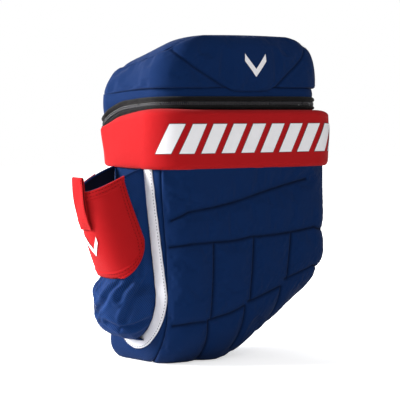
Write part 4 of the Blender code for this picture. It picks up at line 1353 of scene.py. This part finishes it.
def collar_mark():
    wide = float(lengths(collar_place(spread(-1, 1, 60)[None], np.full((1, 60), 0.3), 0.0), 1)[-1])

    def place(across, up):
        return collar_place(-0.04 + 2 * across / wide, (34 + up) / (mouth_height(0) - 121), 4.6)

    chevron("collar_chevron", place, (30.0, 18.0), 9.0, white_print, "bag", slot="white_tape")


def finger_tab():
    """A folded red strip, sewn to the collar at its foot."""
    face = 1.3 + COLLAR_THICK
    foot = pocket_point(0.0, TAB_FOOT, face + 1.0 + TAB_SIZE[0] / 2)
    top = pocket_point(0.0, POCKET_TOP, face + 2.0)
    lean = (top - foot) / np.linalg.norm(top - foot)
    out = np.array([-lean[2], 0.0, lean[0]])
    thick, wide, tall = TAB_SIZE
    side = np.array([0.0, 1.0, 0.0])

    def place(s, t, offset):
        bow = 1.5 * np.sin(np.pi * t / tall) + 0.5 * np.sin(s / wide * 5 + t / 9) - 2.4 * (1 - smooth(t / 14))
        return foot + lean * t[..., None] + side * s[..., None] + out * (bow + offset - thick / 2)[..., None]

    turn = np.concatenate([spread(0, 1, 50), 1 + spread(0, 1, 14)[1:-1], 2 + spread(0, 1, 50)])
    rise = np.where(turn < 1, turn, np.where(turn < 2, 1 + 0.035 * np.sin(np.pi * (turn - 1)), 3 - turn)) * tall * 0.965
    lift = np.where(turn < 1, 3.6, np.where(turn < 2, 1.9 + 1.7 * np.cos(np.pi * (turn - 1)), 0.2))
    pinch = 0.5 + 0.5 * smooth((rise / tall - 0.2) / 0.25)
    lift = 1.9 + (lift - 1.9) * pinch
    s, row = np.meshgrid(wide / 2 * np.sin(spread(-1, 1, 25) * math.pi / 2), np.arange(len(turn)))
    edge = 0.62 * np.sqrt(np.maximum(0.02, 1 - np.abs(2 * s / wide) ** 12))
    facing = np.where(turn < 1, 1.0, np.where(turn < 2, np.cos(np.pi * (turn - 1)), -1.0))[row]
    over = np.where((turn > 1) & (turn < 2), np.sin(np.pi * (turn - 1)), 0.0)[row]
    outer = place(s, rise[row] + over * edge, lift[row] + facing * edge)
    inner = place(s, rise[row] - over * edge, lift[row] - facing * edge)
    slab("finger_tab_cloth", outer, inner, red_cloth, "pull_tab", slot="red_fabric", replaces=("pocket_pull_tab",))
    ones = spread(0, 1, 60)
    box = (
        ("low", lambda s: (-wide / 2 + 3 + (wide - 6) * s, 4 + 0 * s)),
        ("high", lambda s: (-wide / 2 + 3 + (wide - 6) * s, 16 + 0 * s)),
        ("slant", lambda s: (-wide / 2 + 3 + (wide - 6) * s, 4 + 12 * s)),
        ("hem_front", lambda s: (-wide / 2 + 2.2 + 0 * s, 18 + (tall - 20) * s)),
        ("hem_back", lambda s: (wide / 2 - 2.2 + 0 * s, 18 + (tall - 20) * s)),
    )
    for name, line in box:
        s, t = line(ones)
        stitches(
            f"tab_stitches_{name}",
            lambda offset, s=s, t=t: place(s, t, 3.0 + 1.1 * smooth((t - 14) / 18) + offset),
            red_thread,
            "pull_tab",
            pitch=3.6,
            length=2.2,
            width=0.9,
            slot="red_fabric",
        )


# ---------------------------------------------------------------- inside and back


def lining():
    """The thin inner bag, which shows when the lid is open."""
    stations = lid_stations()
    levels = np.concatenate([spread(BODY_TOP - 2, 60, 50), spread(56, 20, 12)])
    u, z = np.meshgrid(stations, levels)
    depth = np.where(np.abs(u - 0.5) < 2, 10.0, 9.0)
    base = skin(u, z, offset=-depth - 2.0)
    sag = wrinkles(base, 26, 0.9, 9.0) + wrinkles(base, 60, 1.2, 2.0) - 1.5
    rows = skin(u, z, offset=-depth - 2.0 + np.minimum(0, sag))
    rim = rows[-1]
    centre = rim.mean(0)
    floor = np.stack([centre + (rim - centre) * share for share in (0.85, 0.6, 0.35, 0.15)])
    capped("lining_cloth", np.concatenate([rows, floor]), lining_cloth, "bag", slot="liner", replaces=("liner",))
    u = spread(-3, 5, 260)[:-1]
    rim = skin(u, BODY_TOP - 2 + 0 * u, offset=-7.0 + 0 * u)
    across, z = np.meshgrid(u, spread(0, 1, 6))
    height = zip_height(across, BODY_TOP + 1.0) * (1 - z) + (BODY_TOP - 2) * z
    facing = skin(across, height, offset=-0.4 - 6.6 * z + 1.2 * np.sin(np.pi * z))
    sheet("mouth_facing", facing, zip_cloth, "bag", closed=True, slot="liner")
    tube("mouth_binding", rim, 3.2, zip_cloth, "bag", sides=10, closed=True, slot="liner")


def crowned_pad(name, u_span, z_span, channels, depth, material, body, replaces):
    """A back pad: crowned between its bound edges, with sewn channels across it."""
    u, z = np.meshgrid(spread(*u_span, 60), spread(*z_span, 90))
    base = skin(u, z)
    across, up = lengths(base, 1), lengths(base, 0)
    s = across[None] + 0 * u
    t = up[:, None] + 0 * u
    reach = np.minimum(np.minimum(s, across[-1] - s), np.minimum(t, up[-1] - t))
    corner = np.hypot(np.minimum(s, across[-1] - s) - 14, np.minimum(t, up[-1] - t) - 14)
    swell = np.sqrt(np.maximum(0, 1 - (1 - np.clip((reach - 2) / 12, 0, 1)) ** 2))
    groove = np.full(u.shape, 99.0)
    for share in channels:
        groove = np.minimum(groove, np.abs(t - up[-1] * share - 5 * np.cos((s / across[-1] - 0.5) * math.pi)))
    lift = 2.0 + depth * swell * (1 - 0.62 * np.exp(-((groove / 3.6) ** 2))) + 0 * corner
    outer = skin(u, z, offset=lift + wrinkles(base, 20, 0.3, 4.0))
    inner = skin(u, z, offset=0.9)
    slab(name, outer, inner, material, body, slot="air_mesh", replaces=replaces)
    ring = np.concatenate([
        np.stack([spread(*u_span, 60), np.full(60, z_span[0])], -1),
        np.stack([np.full(60, u_span[1]), spread(*z_span, 60)], -1)[1:],
        np.stack([spread(*u_span[::-1], 60), np.full(60, z_span[1])], -1)[1:],
        np.stack([np.full(60, u_span[0]), spread(*z_span[::-1], 60)], -1)[1:-1],
    ])
    tube(f"{name}_binding", skin(ring[:, 0], ring[:, 1], offset=1.9), 1.6, webbing, body, sides=8, closed=True, slot="black_webbing")


def back_padding():
    crowned_pad("back_pad_cushion_left", (4.6, 4.9), (150, 262), (0.25, 0.5, 0.75), 7.0, air_mesh, "bag", ("back_pad_left",))
    crowned_pad("back_pad_cushion_right", (4.1, 4.4), (150, 262), (0.25, 0.5, 0.75), 7.0, air_mesh, "bag", ("back_pad_right",))
    crowned_pad("lumbar_cushion", (4.22, 4.78), (98, 142), (0.5,), 7.0, air_mesh, "bag", ("lumbar_pad",))


# ---------------------------------------------------------------- yoke and straps

YOKE_LOW, YOKE_TOP = 276.0, 326.0
STRAP_TOP, STRAP_LOW, STRAP_STAND_OFF, STRAP_ARCH = (54.0, 300.0), (108.0, 124.0), 17.0, 58.0
PAD_SPAN, WEB_SPAN, LOCK_SHARE, TAIL_LENGTH = (0.1, 0.66), (0.77, 0.99), 0.72, 86.0
WEB_WIDTH, WEB_THICK, ANCHOR_CLEARANCE = 25.0, 1.6, 5.2


def yoke():
    u, z = np.meshgrid(spread(4.12, 4.88, 120), spread(YOKE_LOW, YOKE_TOP, 44))
    base = skin(u, z)
    across, up = lengths(base, 1), lengths(base, 0)
    reach = np.minimum(np.minimum(across, across[-1] - across)[None] + 0 * u, np.minimum(up, up[-1] - up)[:, None])
    swell = np.sqrt(np.maximum(0, 1 - (1 - np.clip(reach / 6, 0, 1)) ** 2))
    sewn = np.exp(-(((reach - 5) / 0.8) ** 2))
    outer = skin(u, z, offset=1.5 + 4.2 * swell - 1.0 * sewn + wrinkles(base, 18, 0.3, 8.0))
    inner = skin(u, z, offset=0.9)
    slab("yoke_cloth", outer, inner, blue_flat, "bag", slot="blue_fabric", replaces=("strap_yoke",))
    for name, level in (("low", YOKE_LOW + 5.4), ("high", YOKE_TOP - 5.4)):
        line = spread(4.14, 4.86, 300)
        stitches(
            f"yoke_stitches_{name}",
            lambda offset, level=level: skin(line, level + 0 * line, offset=4.6 + offset),
            blue_thread,
            "bag",
            slot="blue_fabric",
        )


def strap_frame(side):
    def anchor(x, z):
        surface = skin(np.array([4.5]), np.array([z]))[0]
        return np.array([side * x - BASE_CENTRE[0], surface[1] + STRAP_STAND_OFF, surface[2]])

    top, low = anchor(*STRAP_TOP), anchor(*STRAP_LOW)
    down = (low - top) / np.linalg.norm(low - top)
    out = np.array([0, 1.0, 0]) - down * down[1]
    out /= np.linalg.norm(out)
    return top, low, down, out, np.cross(down, out)


def strap_line(side, share):
    """Points of a strap's centre line, with its directions along, out of its face and across."""
    top, low, down, out, across = strap_frame(side)
    span = np.linalg.norm(low - top)

    def at(s):
        arch = STRAP_ARCH * np.sin(math.pi * (s + 0.25 * s * (1 - s)))
        return top + down * (span * s)[..., None] + out * arch[..., None]

    share = np.asarray(share, float)
    ahead = at(share + 0.004) - at(share - 0.004)
    ahead /= np.linalg.norm(ahead, axis=-1, keepdims=True)
    face = np.cross(across + 0 * ahead, ahead)
    return at(share), ahead, face, across


def strap_place(side):
    def place(s, t, offset):
        """s across the strap, t the share along it, offset out of its face."""
        point, _, face, across = strap_line(side, t)
        return point + across * s[..., None] + face * np.broadcast_to(offset, s.shape)[..., None]

    return place


def pad_half(share):
    return (34 + 28 * np.sin(math.pi * np.clip((share - 0.06) / 0.66, 0, 1)) ** 0.7) / 2


def shoulder_pad(side, name):
    """The padded part of a strap: blue outside, spacer mesh inside, bound edge, and a web sewn down its middle."""
    body = f"strap_{name}"
    place = strap_place(side)
    share = spread(*PAD_SPAN, 110)
    w, t = np.meshgrid(np.sin(spread(-1, 1, 41) * math.pi / 2), share)
    round_end = np.sqrt(np.maximum(0.0, 1 - (1 - np.clip(np.minimum(t - PAD_SPAN[0], PAD_SPAN[1] - t) / 0.035, 0, 1)) ** 2))
    half = (pad_half(t) - 1.2) * (0.72 + 0.28 * round_end)
    s = w * half
    swell = np.sqrt(np.maximum(0, 1 - np.abs(w) ** 3)) * (0.3 + 0.7 * round_end)
    middle = np.exp(-((s / 9) ** 4))
    outer = place(s, t, 0.6 + 3.6 * swell - 1.0 * middle * round_end)
    seam = place(s, t, 0.2 + 0 * s)
    inner = place(s, t, 0.2 - 3.9 * swell)
    puff = pad_puff(outer, w, t)
    slab(f"strap_outer_{name}", outer + puff, seam, blue_flat, body, slot="air_mesh", replaces=(f"strap_pad_{name}",))
    slab(f"strap_inner_{name}", seam, inner, air_mesh, body, slot="air_mesh")
    edge = np.concatenate([seam[:, 0], seam[-1, 1:-1], seam[::-1, -1], seam[0, 1:-1][::-1]])
    tube(f"strap_binding_{name}", edge, 1.5, webbing, body, sides=8, closed=True, slot="black_webbing")
    run = spread(PAD_SPAN[0] + 0.005, PAD_SPAN[1] - 0.005, 120)
    web_s, web_t = np.meshgrid(spread(-9.5, 9.5, 9), run)
    slab(
        f"strap_daisy_{name}",
        place(web_s, web_t, 5.0 + 0 * web_s),
        place(web_s, web_t, 3.0 + 0 * web_s),
        webbing,
        body,
        slot="black_webbing",
    )
    for index in range(6):
        at = PAD_SPAN[0] + 0.04 + index * 0.095
        ones = spread(-8.5, 8.5, 40)
        stitches(
            f"strap_tack_{name}_{index}",
            lambda offset, at=at: place(ones, at + 0 * ones, 5.0 + offset),
            grey_thread,
            body,
            pitch=2.2,
            length=1.6,
            width=0.6,
            slot="black_webbing",
        )


def pad_puff(points, w, t):
    """Swelling of the pad's outer cloth between the sewn web and the edges."""
    pinned = (np.abs(w) > 0.985) | (np.abs(w * pad_half(t)) < 9.5)
    pinned[0] = pinned[-1] = True
    return billow(points, pinned, -0.02, 1.5, frames=10, most=1.6)


def web_strip(name, side, span, width, lift, thick, body, replaces=(), taper=None):
    place = strap_place(side)
    share = spread(*span, 60)
    s, t = np.meshgrid(spread(-1, 1, 17), share)
    half = width / 2 if taper is None else taper(t) / 2
    edge = np.sqrt(np.maximum(0, 1 - np.abs(s) ** 10))
    outer = place(s * half, t, lift + thick * (0.5 + 0.5 * edge))
    inner = place(s * half, t, lift + thick * (0.5 - 0.5 * edge))
    slab(name, outer, inner, webbing, body, slot="black_webbing", replaces=replaces)


def box_stitch(name, corner, across, up, out, wide, tall, material, body):
    """A sewn box with a cross in it, on a flat patch."""
    corners = [corner, corner + across * wide, corner + across * wide + up * tall, corner + up * tall]
    lines = [(0, 1), (1, 2), (2, 3), (3, 0), (0, 2), (1, 3)]
    path = np.concatenate([np.linspace(corners[a], corners[b], 60) for a, b in lines])
    stitches(name, lambda offset: path + out * offset, material, body, pitch=2.4, length=1.8, width=0.6, slot="black_webbing")


def lock_shape():
    """A ladder lock: a plate with two slots and raised bars, in its own axes (across, along, out)."""
    build = bmesh.new()
    for y, thick in ((-6.6, 4.6), (0.0, 3.4), (6.6, 4.6)):
        place = Matrix.Translation((0, y, 0)) @ Matrix.Diagonal((33.0, 2.9, thick, 1.0))
        bmesh.ops.create_cube(build, size=1.0, matrix=place)
    for x in (-15.0, 15.0):
        place = Matrix.Translation((x, 0, 0)) @ Matrix.Diagonal((3.4, 15.4, 4.4, 1.0))
        bmesh.ops.create_cube(build, size=1.0, matrix=place)
    bmesh.ops.bevel(build, geom=build.edges[:], offset=0.8, segments=3, affect="EDGES", profile=0.5)
    build.verts.index_update()
    return shape_of(build)


def strap(side, name):
    body = f"strap_{name}"
    top, low, _, _, _ = strap_frame(side)
    shoulder_pad(side, name)
    web_strip(f"strap_root_web_{name}", side, (0.0, 0.13), 34, -1, 2, body, (f"strap_root_{name}",), lambda t: 20 + 14 * np.clip(t / 0.085, 0, 1))
    web_strip(f"strap_lower_web_{name}", side, (WEB_SPAN[0] - 0.02, WEB_SPAN[1]), WEB_WIDTH, 0, WEB_THICK, body, (f"strap_web_{name}",))
    web_strip(f"strap_end_web_{name}", side, (PAD_SPAN[1] - 0.02, LOCK_SHARE - 0.012), WEB_WIDTH, -0.6, 1.8, body)
    point, ahead, face, across = strap_line(side, np.array([LOCK_SHARE]))
    axes = np.stack([across[None] + 0 * ahead, ahead, face], 1)
    scatter(
        f"strap_lock_{name}",
        lock_shape(),
        point,
        axes,
        black_plastic,
        body,
        smooth_angle=40,
        slot="black_plastic",
        replaces=(f"ladder_lock_{name}",),
    )
    tail(side, name)
    for label, spot, start in (("top", top, 8.5), ("low", low, 1.5)):
        anchor_tab(f"strap_anchor_tab_{label}_{name}", spot, start, f"strap_anchor_{label}_{name}")
        neck(side, name, label, spot)


def anchor_tab(name, spot, start, node):
    """A folded web tab that the strap is sewn to."""
    depth = STRAP_STAND_OFF - ANCHOR_CLEARANCE - start
    centre = spot - np.array([0, STRAP_STAND_OFF - start - depth / 2, 0])
    points, faces = rounded_block((34.0, depth, 14.0), min(1.2, depth * 0.4), 3)
    shift = 0.25 * np.sin(points[:, :1] * 0.6)
    moved = points + centre + shift * np.array([[0, 0.6, 1.0]])
    add_object(name, moved, faces, webbing, "bag", uvs=points[:, [0, 2]], slot="black_webbing", replaces=(node,))
    out = np.array([0, 1.0, 0])
    corner = centre + np.array([-13, depth / 2 + 0.15, -4.5])
    box_stitch(f"{name}_stitches", corner, np.array([1.0, 0, 0]), np.array([0, 0, 1.0]), out, 26, 9, grey_thread, "bag")


def neck(side, name, label, spot):
    """The short length of cloth between an anchor and its strap."""
    place = strap_place(side)
    share = 0.012 if label == "top" else 0.985
    s, t = np.meshgrid(spread(-9, 9, 13), spread(0, 1, 20))
    foot = spot - np.array([0, ANCHOR_CLEARANCE + 0.6, 0])
    low = foot + np.array([1.0, 0, 0]) * s[..., None]
    high = place(s, share + 0 * s, 0 * s)
    blend = smooth(t)[..., None]
    middle = low * (1 - blend) + high * blend
    bulge = np.array([0, 0, -1.6 if label == "low" else 1.6]) * np.sin(np.pi * t)[..., None]
    _, _, face, _ = strap_line(side, np.array([share]))
    thick = np.array([0, 0, 1.0]) * 0.9
    obj = slab(f"strap_neck_{label}_{name}", middle + bulge + thick, middle + bulge - thick, webbing, None, slot="black_webbing")
    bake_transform(obj)


def tail(side, name):
    start, _, face, across = strap_line(side, np.array([WEB_SPAN[0]]))
    begin = start[0] + face[0] * (WEB_THICK + 4.0)
    drop = np.array([0, 0.12, -1.0])
    drop /= np.linalg.norm(drop)
    out = np.cross(across, drop)
    out /= np.linalg.norm(out)
    out = out if out[1] > 0 else -out

    def place(s, t, offset):
        wave = 1.6 * np.sin(t / TAIL_LENGTH * 7) * t / TAIL_LENGTH - 4.5 * smooth((2 - t) / 8)
        return begin + drop * t[..., None] + across * s[..., None] + out * (wave + offset)[..., None]

    s, t = np.meshgrid(spread(-WEB_WIDTH / 2, WEB_WIDTH / 2, 17), spread(-6, TAIL_LENGTH, 66))
    fold = 1.7 * smooth((t - TAIL_LENGTH + 16) / 1.5)
    slab(
        f"strap_tail_web_{name}",
        place(s, t, WEB_THICK + 0 * s),
        place(s, t, 0 * s - fold * 0.6),
        webbing,
        f"tail_{name}",
        slot="black_webbing",
        replaces=(f"strap_tail_{name}",),
    )
    line = spread(-WEB_WIDTH / 2 + 2, WEB_WIDTH / 2 - 2, 40)
    for index, at in enumerate((TAIL_LENGTH - 13, TAIL_LENGTH - 4)):
        stitches(
            f"strap_tail_stitches_{name}_{index}",
            lambda offset, at=at: place(line, at + 0 * line, WEB_THICK + offset),
            grey_thread,
            f"tail_{name}",
            pitch=2.4,
            length=1.7,
            width=0.6,
            slot="black_webbing",
        )


def haul_loop():
    """Carrying loop of flat web, hanging from the yoke."""
    surface = skin(np.array([4.5]), np.array([YOKE_TOP - 8]))[0]
    axis = np.array([-BASE_CENTRE[0], surface[1] + 10.0, surface[2]])
    half, reach = 26.0, 46.0
    angle = np.radians(spread(-90, 90, 90))
    x = half * np.sin(angle)
    down = (reach - 8) * np.maximum(0, np.cos(angle)) ** 0.7
    w, index = np.meshgrid(spread(0, 20, 15), np.arange(90))
    edge = np.sqrt(np.maximum(0, 1 - np.abs(w / 10 - 1) ** 10))
    base = np.stack([x[index], 1.1 + 0 * w, -down[index] - w], -1) + axis
    out = np.array([0, 1.0, 0])
    outer = base + out * (1.1 * edge)[..., None]
    inner = base - out * (1.1 * edge)[..., None]
    slab("haul_web", outer, inner, webbing, "carry_loop", slot="black_webbing", replaces=("haul_loop",))
    middle = base[:, 7]
    grip = middle[20:70] - out * 0.2
    tube("haul_grip", grip, 6.0, blue_flat, "carry_loop", sides=18, flatten=0.55, facing=out, slot="blue_fabric")
    for sign in (-1, 1):
        corner = axis + np.array([sign * half - 9, 2.3, -19])
        name = "left" if sign < 0 else "right"
        box_stitch(f"haul_stitches_{name}", corner + np.array([2 if sign < 0 else 0, 0, 1]), np.array([1.0, 0, 0]), np.array([0, 0, 1.0]), out, 12, 12, grey_thread, "carry_loop")


# ---------------------------------------------------------------- sliders


def pull_shape():
    """A zip pull: a flat stem that widens into a moulded grip with raised ribs, pointing along +y."""
    build = bmesh.new()
    parts = [((0, 1.5, 0), (3.2, 5.0, 1.5)), ((0, 13.5, 0), (6.8, 19.5, 1.5))]
    parts += [((0, 8.0 + 3.4 * i, 0), (5.4, 1.1, 2.2)) for i in range(4)]
    for centre, size in parts:
        bmesh.ops.create_cube(build, size=1.0, matrix=Matrix.Translation(centre) @ Matrix.Diagonal((*size, 1.0)))
    bmesh.ops.bevel(build, geom=build.edges[:], offset=0.5, segments=3, affect="EDGES", profile=0.5)
    build.verts.index_update()
    return shape_of(build)


def slider_shape():
    """A zip slider: two shoes joined by a post, with a bridge for the pull; along +y, out along +z."""
    build = bmesh.new()
    parts = [((0, 0, 1.2), (9.6, 12.6, 1.5)), ((0, 0, -1.9), (8.6, 11.6, 1.3)), ((0, 4.4, -0.3), (2.6, 2.6, 3.6))]
    parts += [((0, -3.6, 2.3), (3.0, 1.8, 1.6)), ((0, 3.6, 2.3), (3.0, 1.8, 1.6)), ((0, 0, 2.8), (2.6, 8.0, 0.9))]
    parts += [((-4.1, -1.0, -0.3), (1.2, 9.0, 2.6)), ((4.1, -1.0, -0.3), (1.2, 9.0, 2.6))]
    for centre, size in parts:
        bmesh.ops.create_cube(build, size=1.0, matrix=Matrix.Translation(centre) @ Matrix.Diagonal((*size, 1.0)))
    bmesh.ops.bevel(build, geom=build.edges[:], offset=0.35, segments=3, affect="EDGES", profile=0.5)
    build.verts.index_update()
    return shape_of(build)


def sliders():
    along = skin(np.array([2.3]), np.array([ZIP_Z]), strip_section)[0] - skin(np.array([2.7]), np.array([ZIP_Z]), strip_section)[0]
    along /= np.linalg.norm(along)
    out = np.array([1.0, 0, 0])
    up = -np.cross(out, along)
    for name, station, heading in (("front", 2.44, 1), ("rear", 2.62, -1)):
        centre = skin(np.array([station]), np.array([ZIP_Z]), strip_section, 4.9)[0]
        axes = np.stack([up, along * heading, out])[None]
        scatter(
            f"zip_slider_{name}",
            slider_shape(),
            centre[None],
            axes,
            dark_metal,
            f"slider_{name}_body",
            smooth_angle=40,
            slot="zip_metal",
            replaces=(f"slider_{name}",),
        )
        loop = centre + out * 4.6
        scatter(
            f"zip_pull_{name}",
            pull_shape(),
            loop[None],
            axes,
            black_plastic,
            f"pull_{name}_body",
            smooth_angle=40,
            slot="zip_metal",
            replaces=(f"pull_{name}",),
        )


def frame_sheet():
    """The stiffener keeps its CAD shape and gets a moulded plastic finish."""
    node = frame["nodes"]["frame_sheet"]
    node.data.materials.clear()
    node.data.materials.append(black_plastic)


# ---------------------------------------------------------------- stage


AMBIENT = 0.36
LAMPS = (
    ("key", (-2.35, 1.55, 1.3), 1.3, 195.0),
    ("fill", (-0.5, -2.5, 2.0), 1.6, 20.0),
    ("rim", (0.6, 2.2, 2.0), 1.8, 28.0),
)


def stage():
    floor = bpy.data.meshes.new("floor")
    floor.from_pydata([(-6, -6, -0.0005), (6, -6, -0.0005), (6, 6, -0.0005), (-6, 6, -0.0005)], [], [(0, 1, 2, 3)])
    g = Graph("floor_paint")
    grain = g.noise(g.place(), 3.0, 3.0)
    g.set("Base Color", g.mix(grain, (0.88, 0.88, 0.89, 1.0), (0.92, 0.92, 0.93, 1.0)))
    g.set("Roughness", 0.9)
    seen = g.add("ShaderNodeLightPath").outputs["Is Camera Ray"]
    g.set("Emission Color", (1.0, 1.0, 1.0, 1.0))
    away = g.add("ShaderNodeVectorMath", g.place(), operation="LENGTH").outputs["Value"]
    glow = g.math("MULTIPLY_ADD", g.math("MULTIPLY_ADD", away, 0.8, -0.3, clamp=True), 0.6, 0.6)
    g.set("Emission Strength", g.math("MULTIPLY", seen, glow))
    floor.materials.append(g.material)
    obj = bpy.data.objects.new("floor", floor)
    bpy.context.scene.collection.objects.link(obj)
    world = bpy.data.worlds.new("studio")
    bpy.context.scene.world = world
    world.use_nodes = True
    nodes, links = world.node_tree.nodes, world.node_tree.links
    seen = nodes.new("ShaderNodeLightPath").outputs["Is Camera Ray"]
    power = nodes.new("ShaderNodeMapRange")
    links.new(seen, power.inputs["Value"])
    power.inputs["To Min"].default_value = AMBIENT
    power.inputs["To Max"].default_value = 1.0
    nodes["Background"].inputs["Color"].default_value = (1.0, 1.0, 1.0, 1.0)
    links.new(power.outputs["Result"], nodes["Background"].inputs["Strength"])
    for name, spot, size, power in LAMPS:
        light = bpy.data.lights.new(name, "AREA")
        light.shape = "DISK"
        light.size = size
        light.energy = power
        lamp = bpy.data.objects.new(name, light)
        bpy.context.scene.collection.objects.link(lamp)
        lamp.location = spot
        aim = Vector((0.08, 0.0, 0.24)) - Vector(spot)
        lamp.rotation_euler = aim.to_track_quat("-Z", "Y").to_euler()


CAMERA_DISTANCE, CAMERA_HEIGHT, CAMERA_TURN, CAMERA_TILT = 2.560, 0.380, 35.0, 3.47
FOCAL_PIXELS, FRAME_PIXELS, AXIS_SHIFT = 1750.0, 400.0, 18.4


def camera():
    turn, tilt = math.radians(CAMERA_TURN), math.radians(CAMERA_TILT)
    look = Vector((math.sin(turn), math.cos(turn), 0))
    target = Vector((-BASE_CENTRE[0] * MM, -BASE_CENTRE[1] * MM, CAMERA_HEIGHT))
    forward = Matrix.Rotation(math.atan(AXIS_SHIFT / FOCAL_PIXELS), 3, "Z") @ look
    right = forward.cross(Vector((0, 0, 1))).normalized()
    forward = (forward * math.cos(tilt) - Vector((0, 0, 1)) * math.sin(tilt)).normalized()
    up = right.cross(forward)
    data = bpy.data.cameras.new("camera")
    data.sensor_width = 36.0
    data.lens = FOCAL_PIXELS / FRAME_PIXELS * data.sensor_width
    data.clip_end = 50.0
    obj = bpy.data.objects.new("camera", data)
    bpy.context.scene.collection.objects.link(obj)
    axes = Matrix((right, up, -forward)).transposed().to_4x4()
    obj.matrix_world = Matrix.Translation(target - look * CAMERA_DISTANCE) @ axes
    bpy.context.scene.camera = obj
    bpy.context.scene.view_settings.view_transform = "Standard"


front_panel()
side_panels()
back_panel()
base_panel()
wrist_band()
band_bars()
wall = lid_wall()
lid_top()
lid_lining()
lid_strip()
lid_mark(wall)
zip_parts()
hinge_cord()
pocket_tape()
mesh_pocket()
collar()
collar_mark()
finger_tab()
lining()
frame_sheet()
back_padding()
yoke()
haul_loop()
for side, name in ((-1, "left"), (1, "right")):
    strap(side, name)
sliders()
stage()
camera()
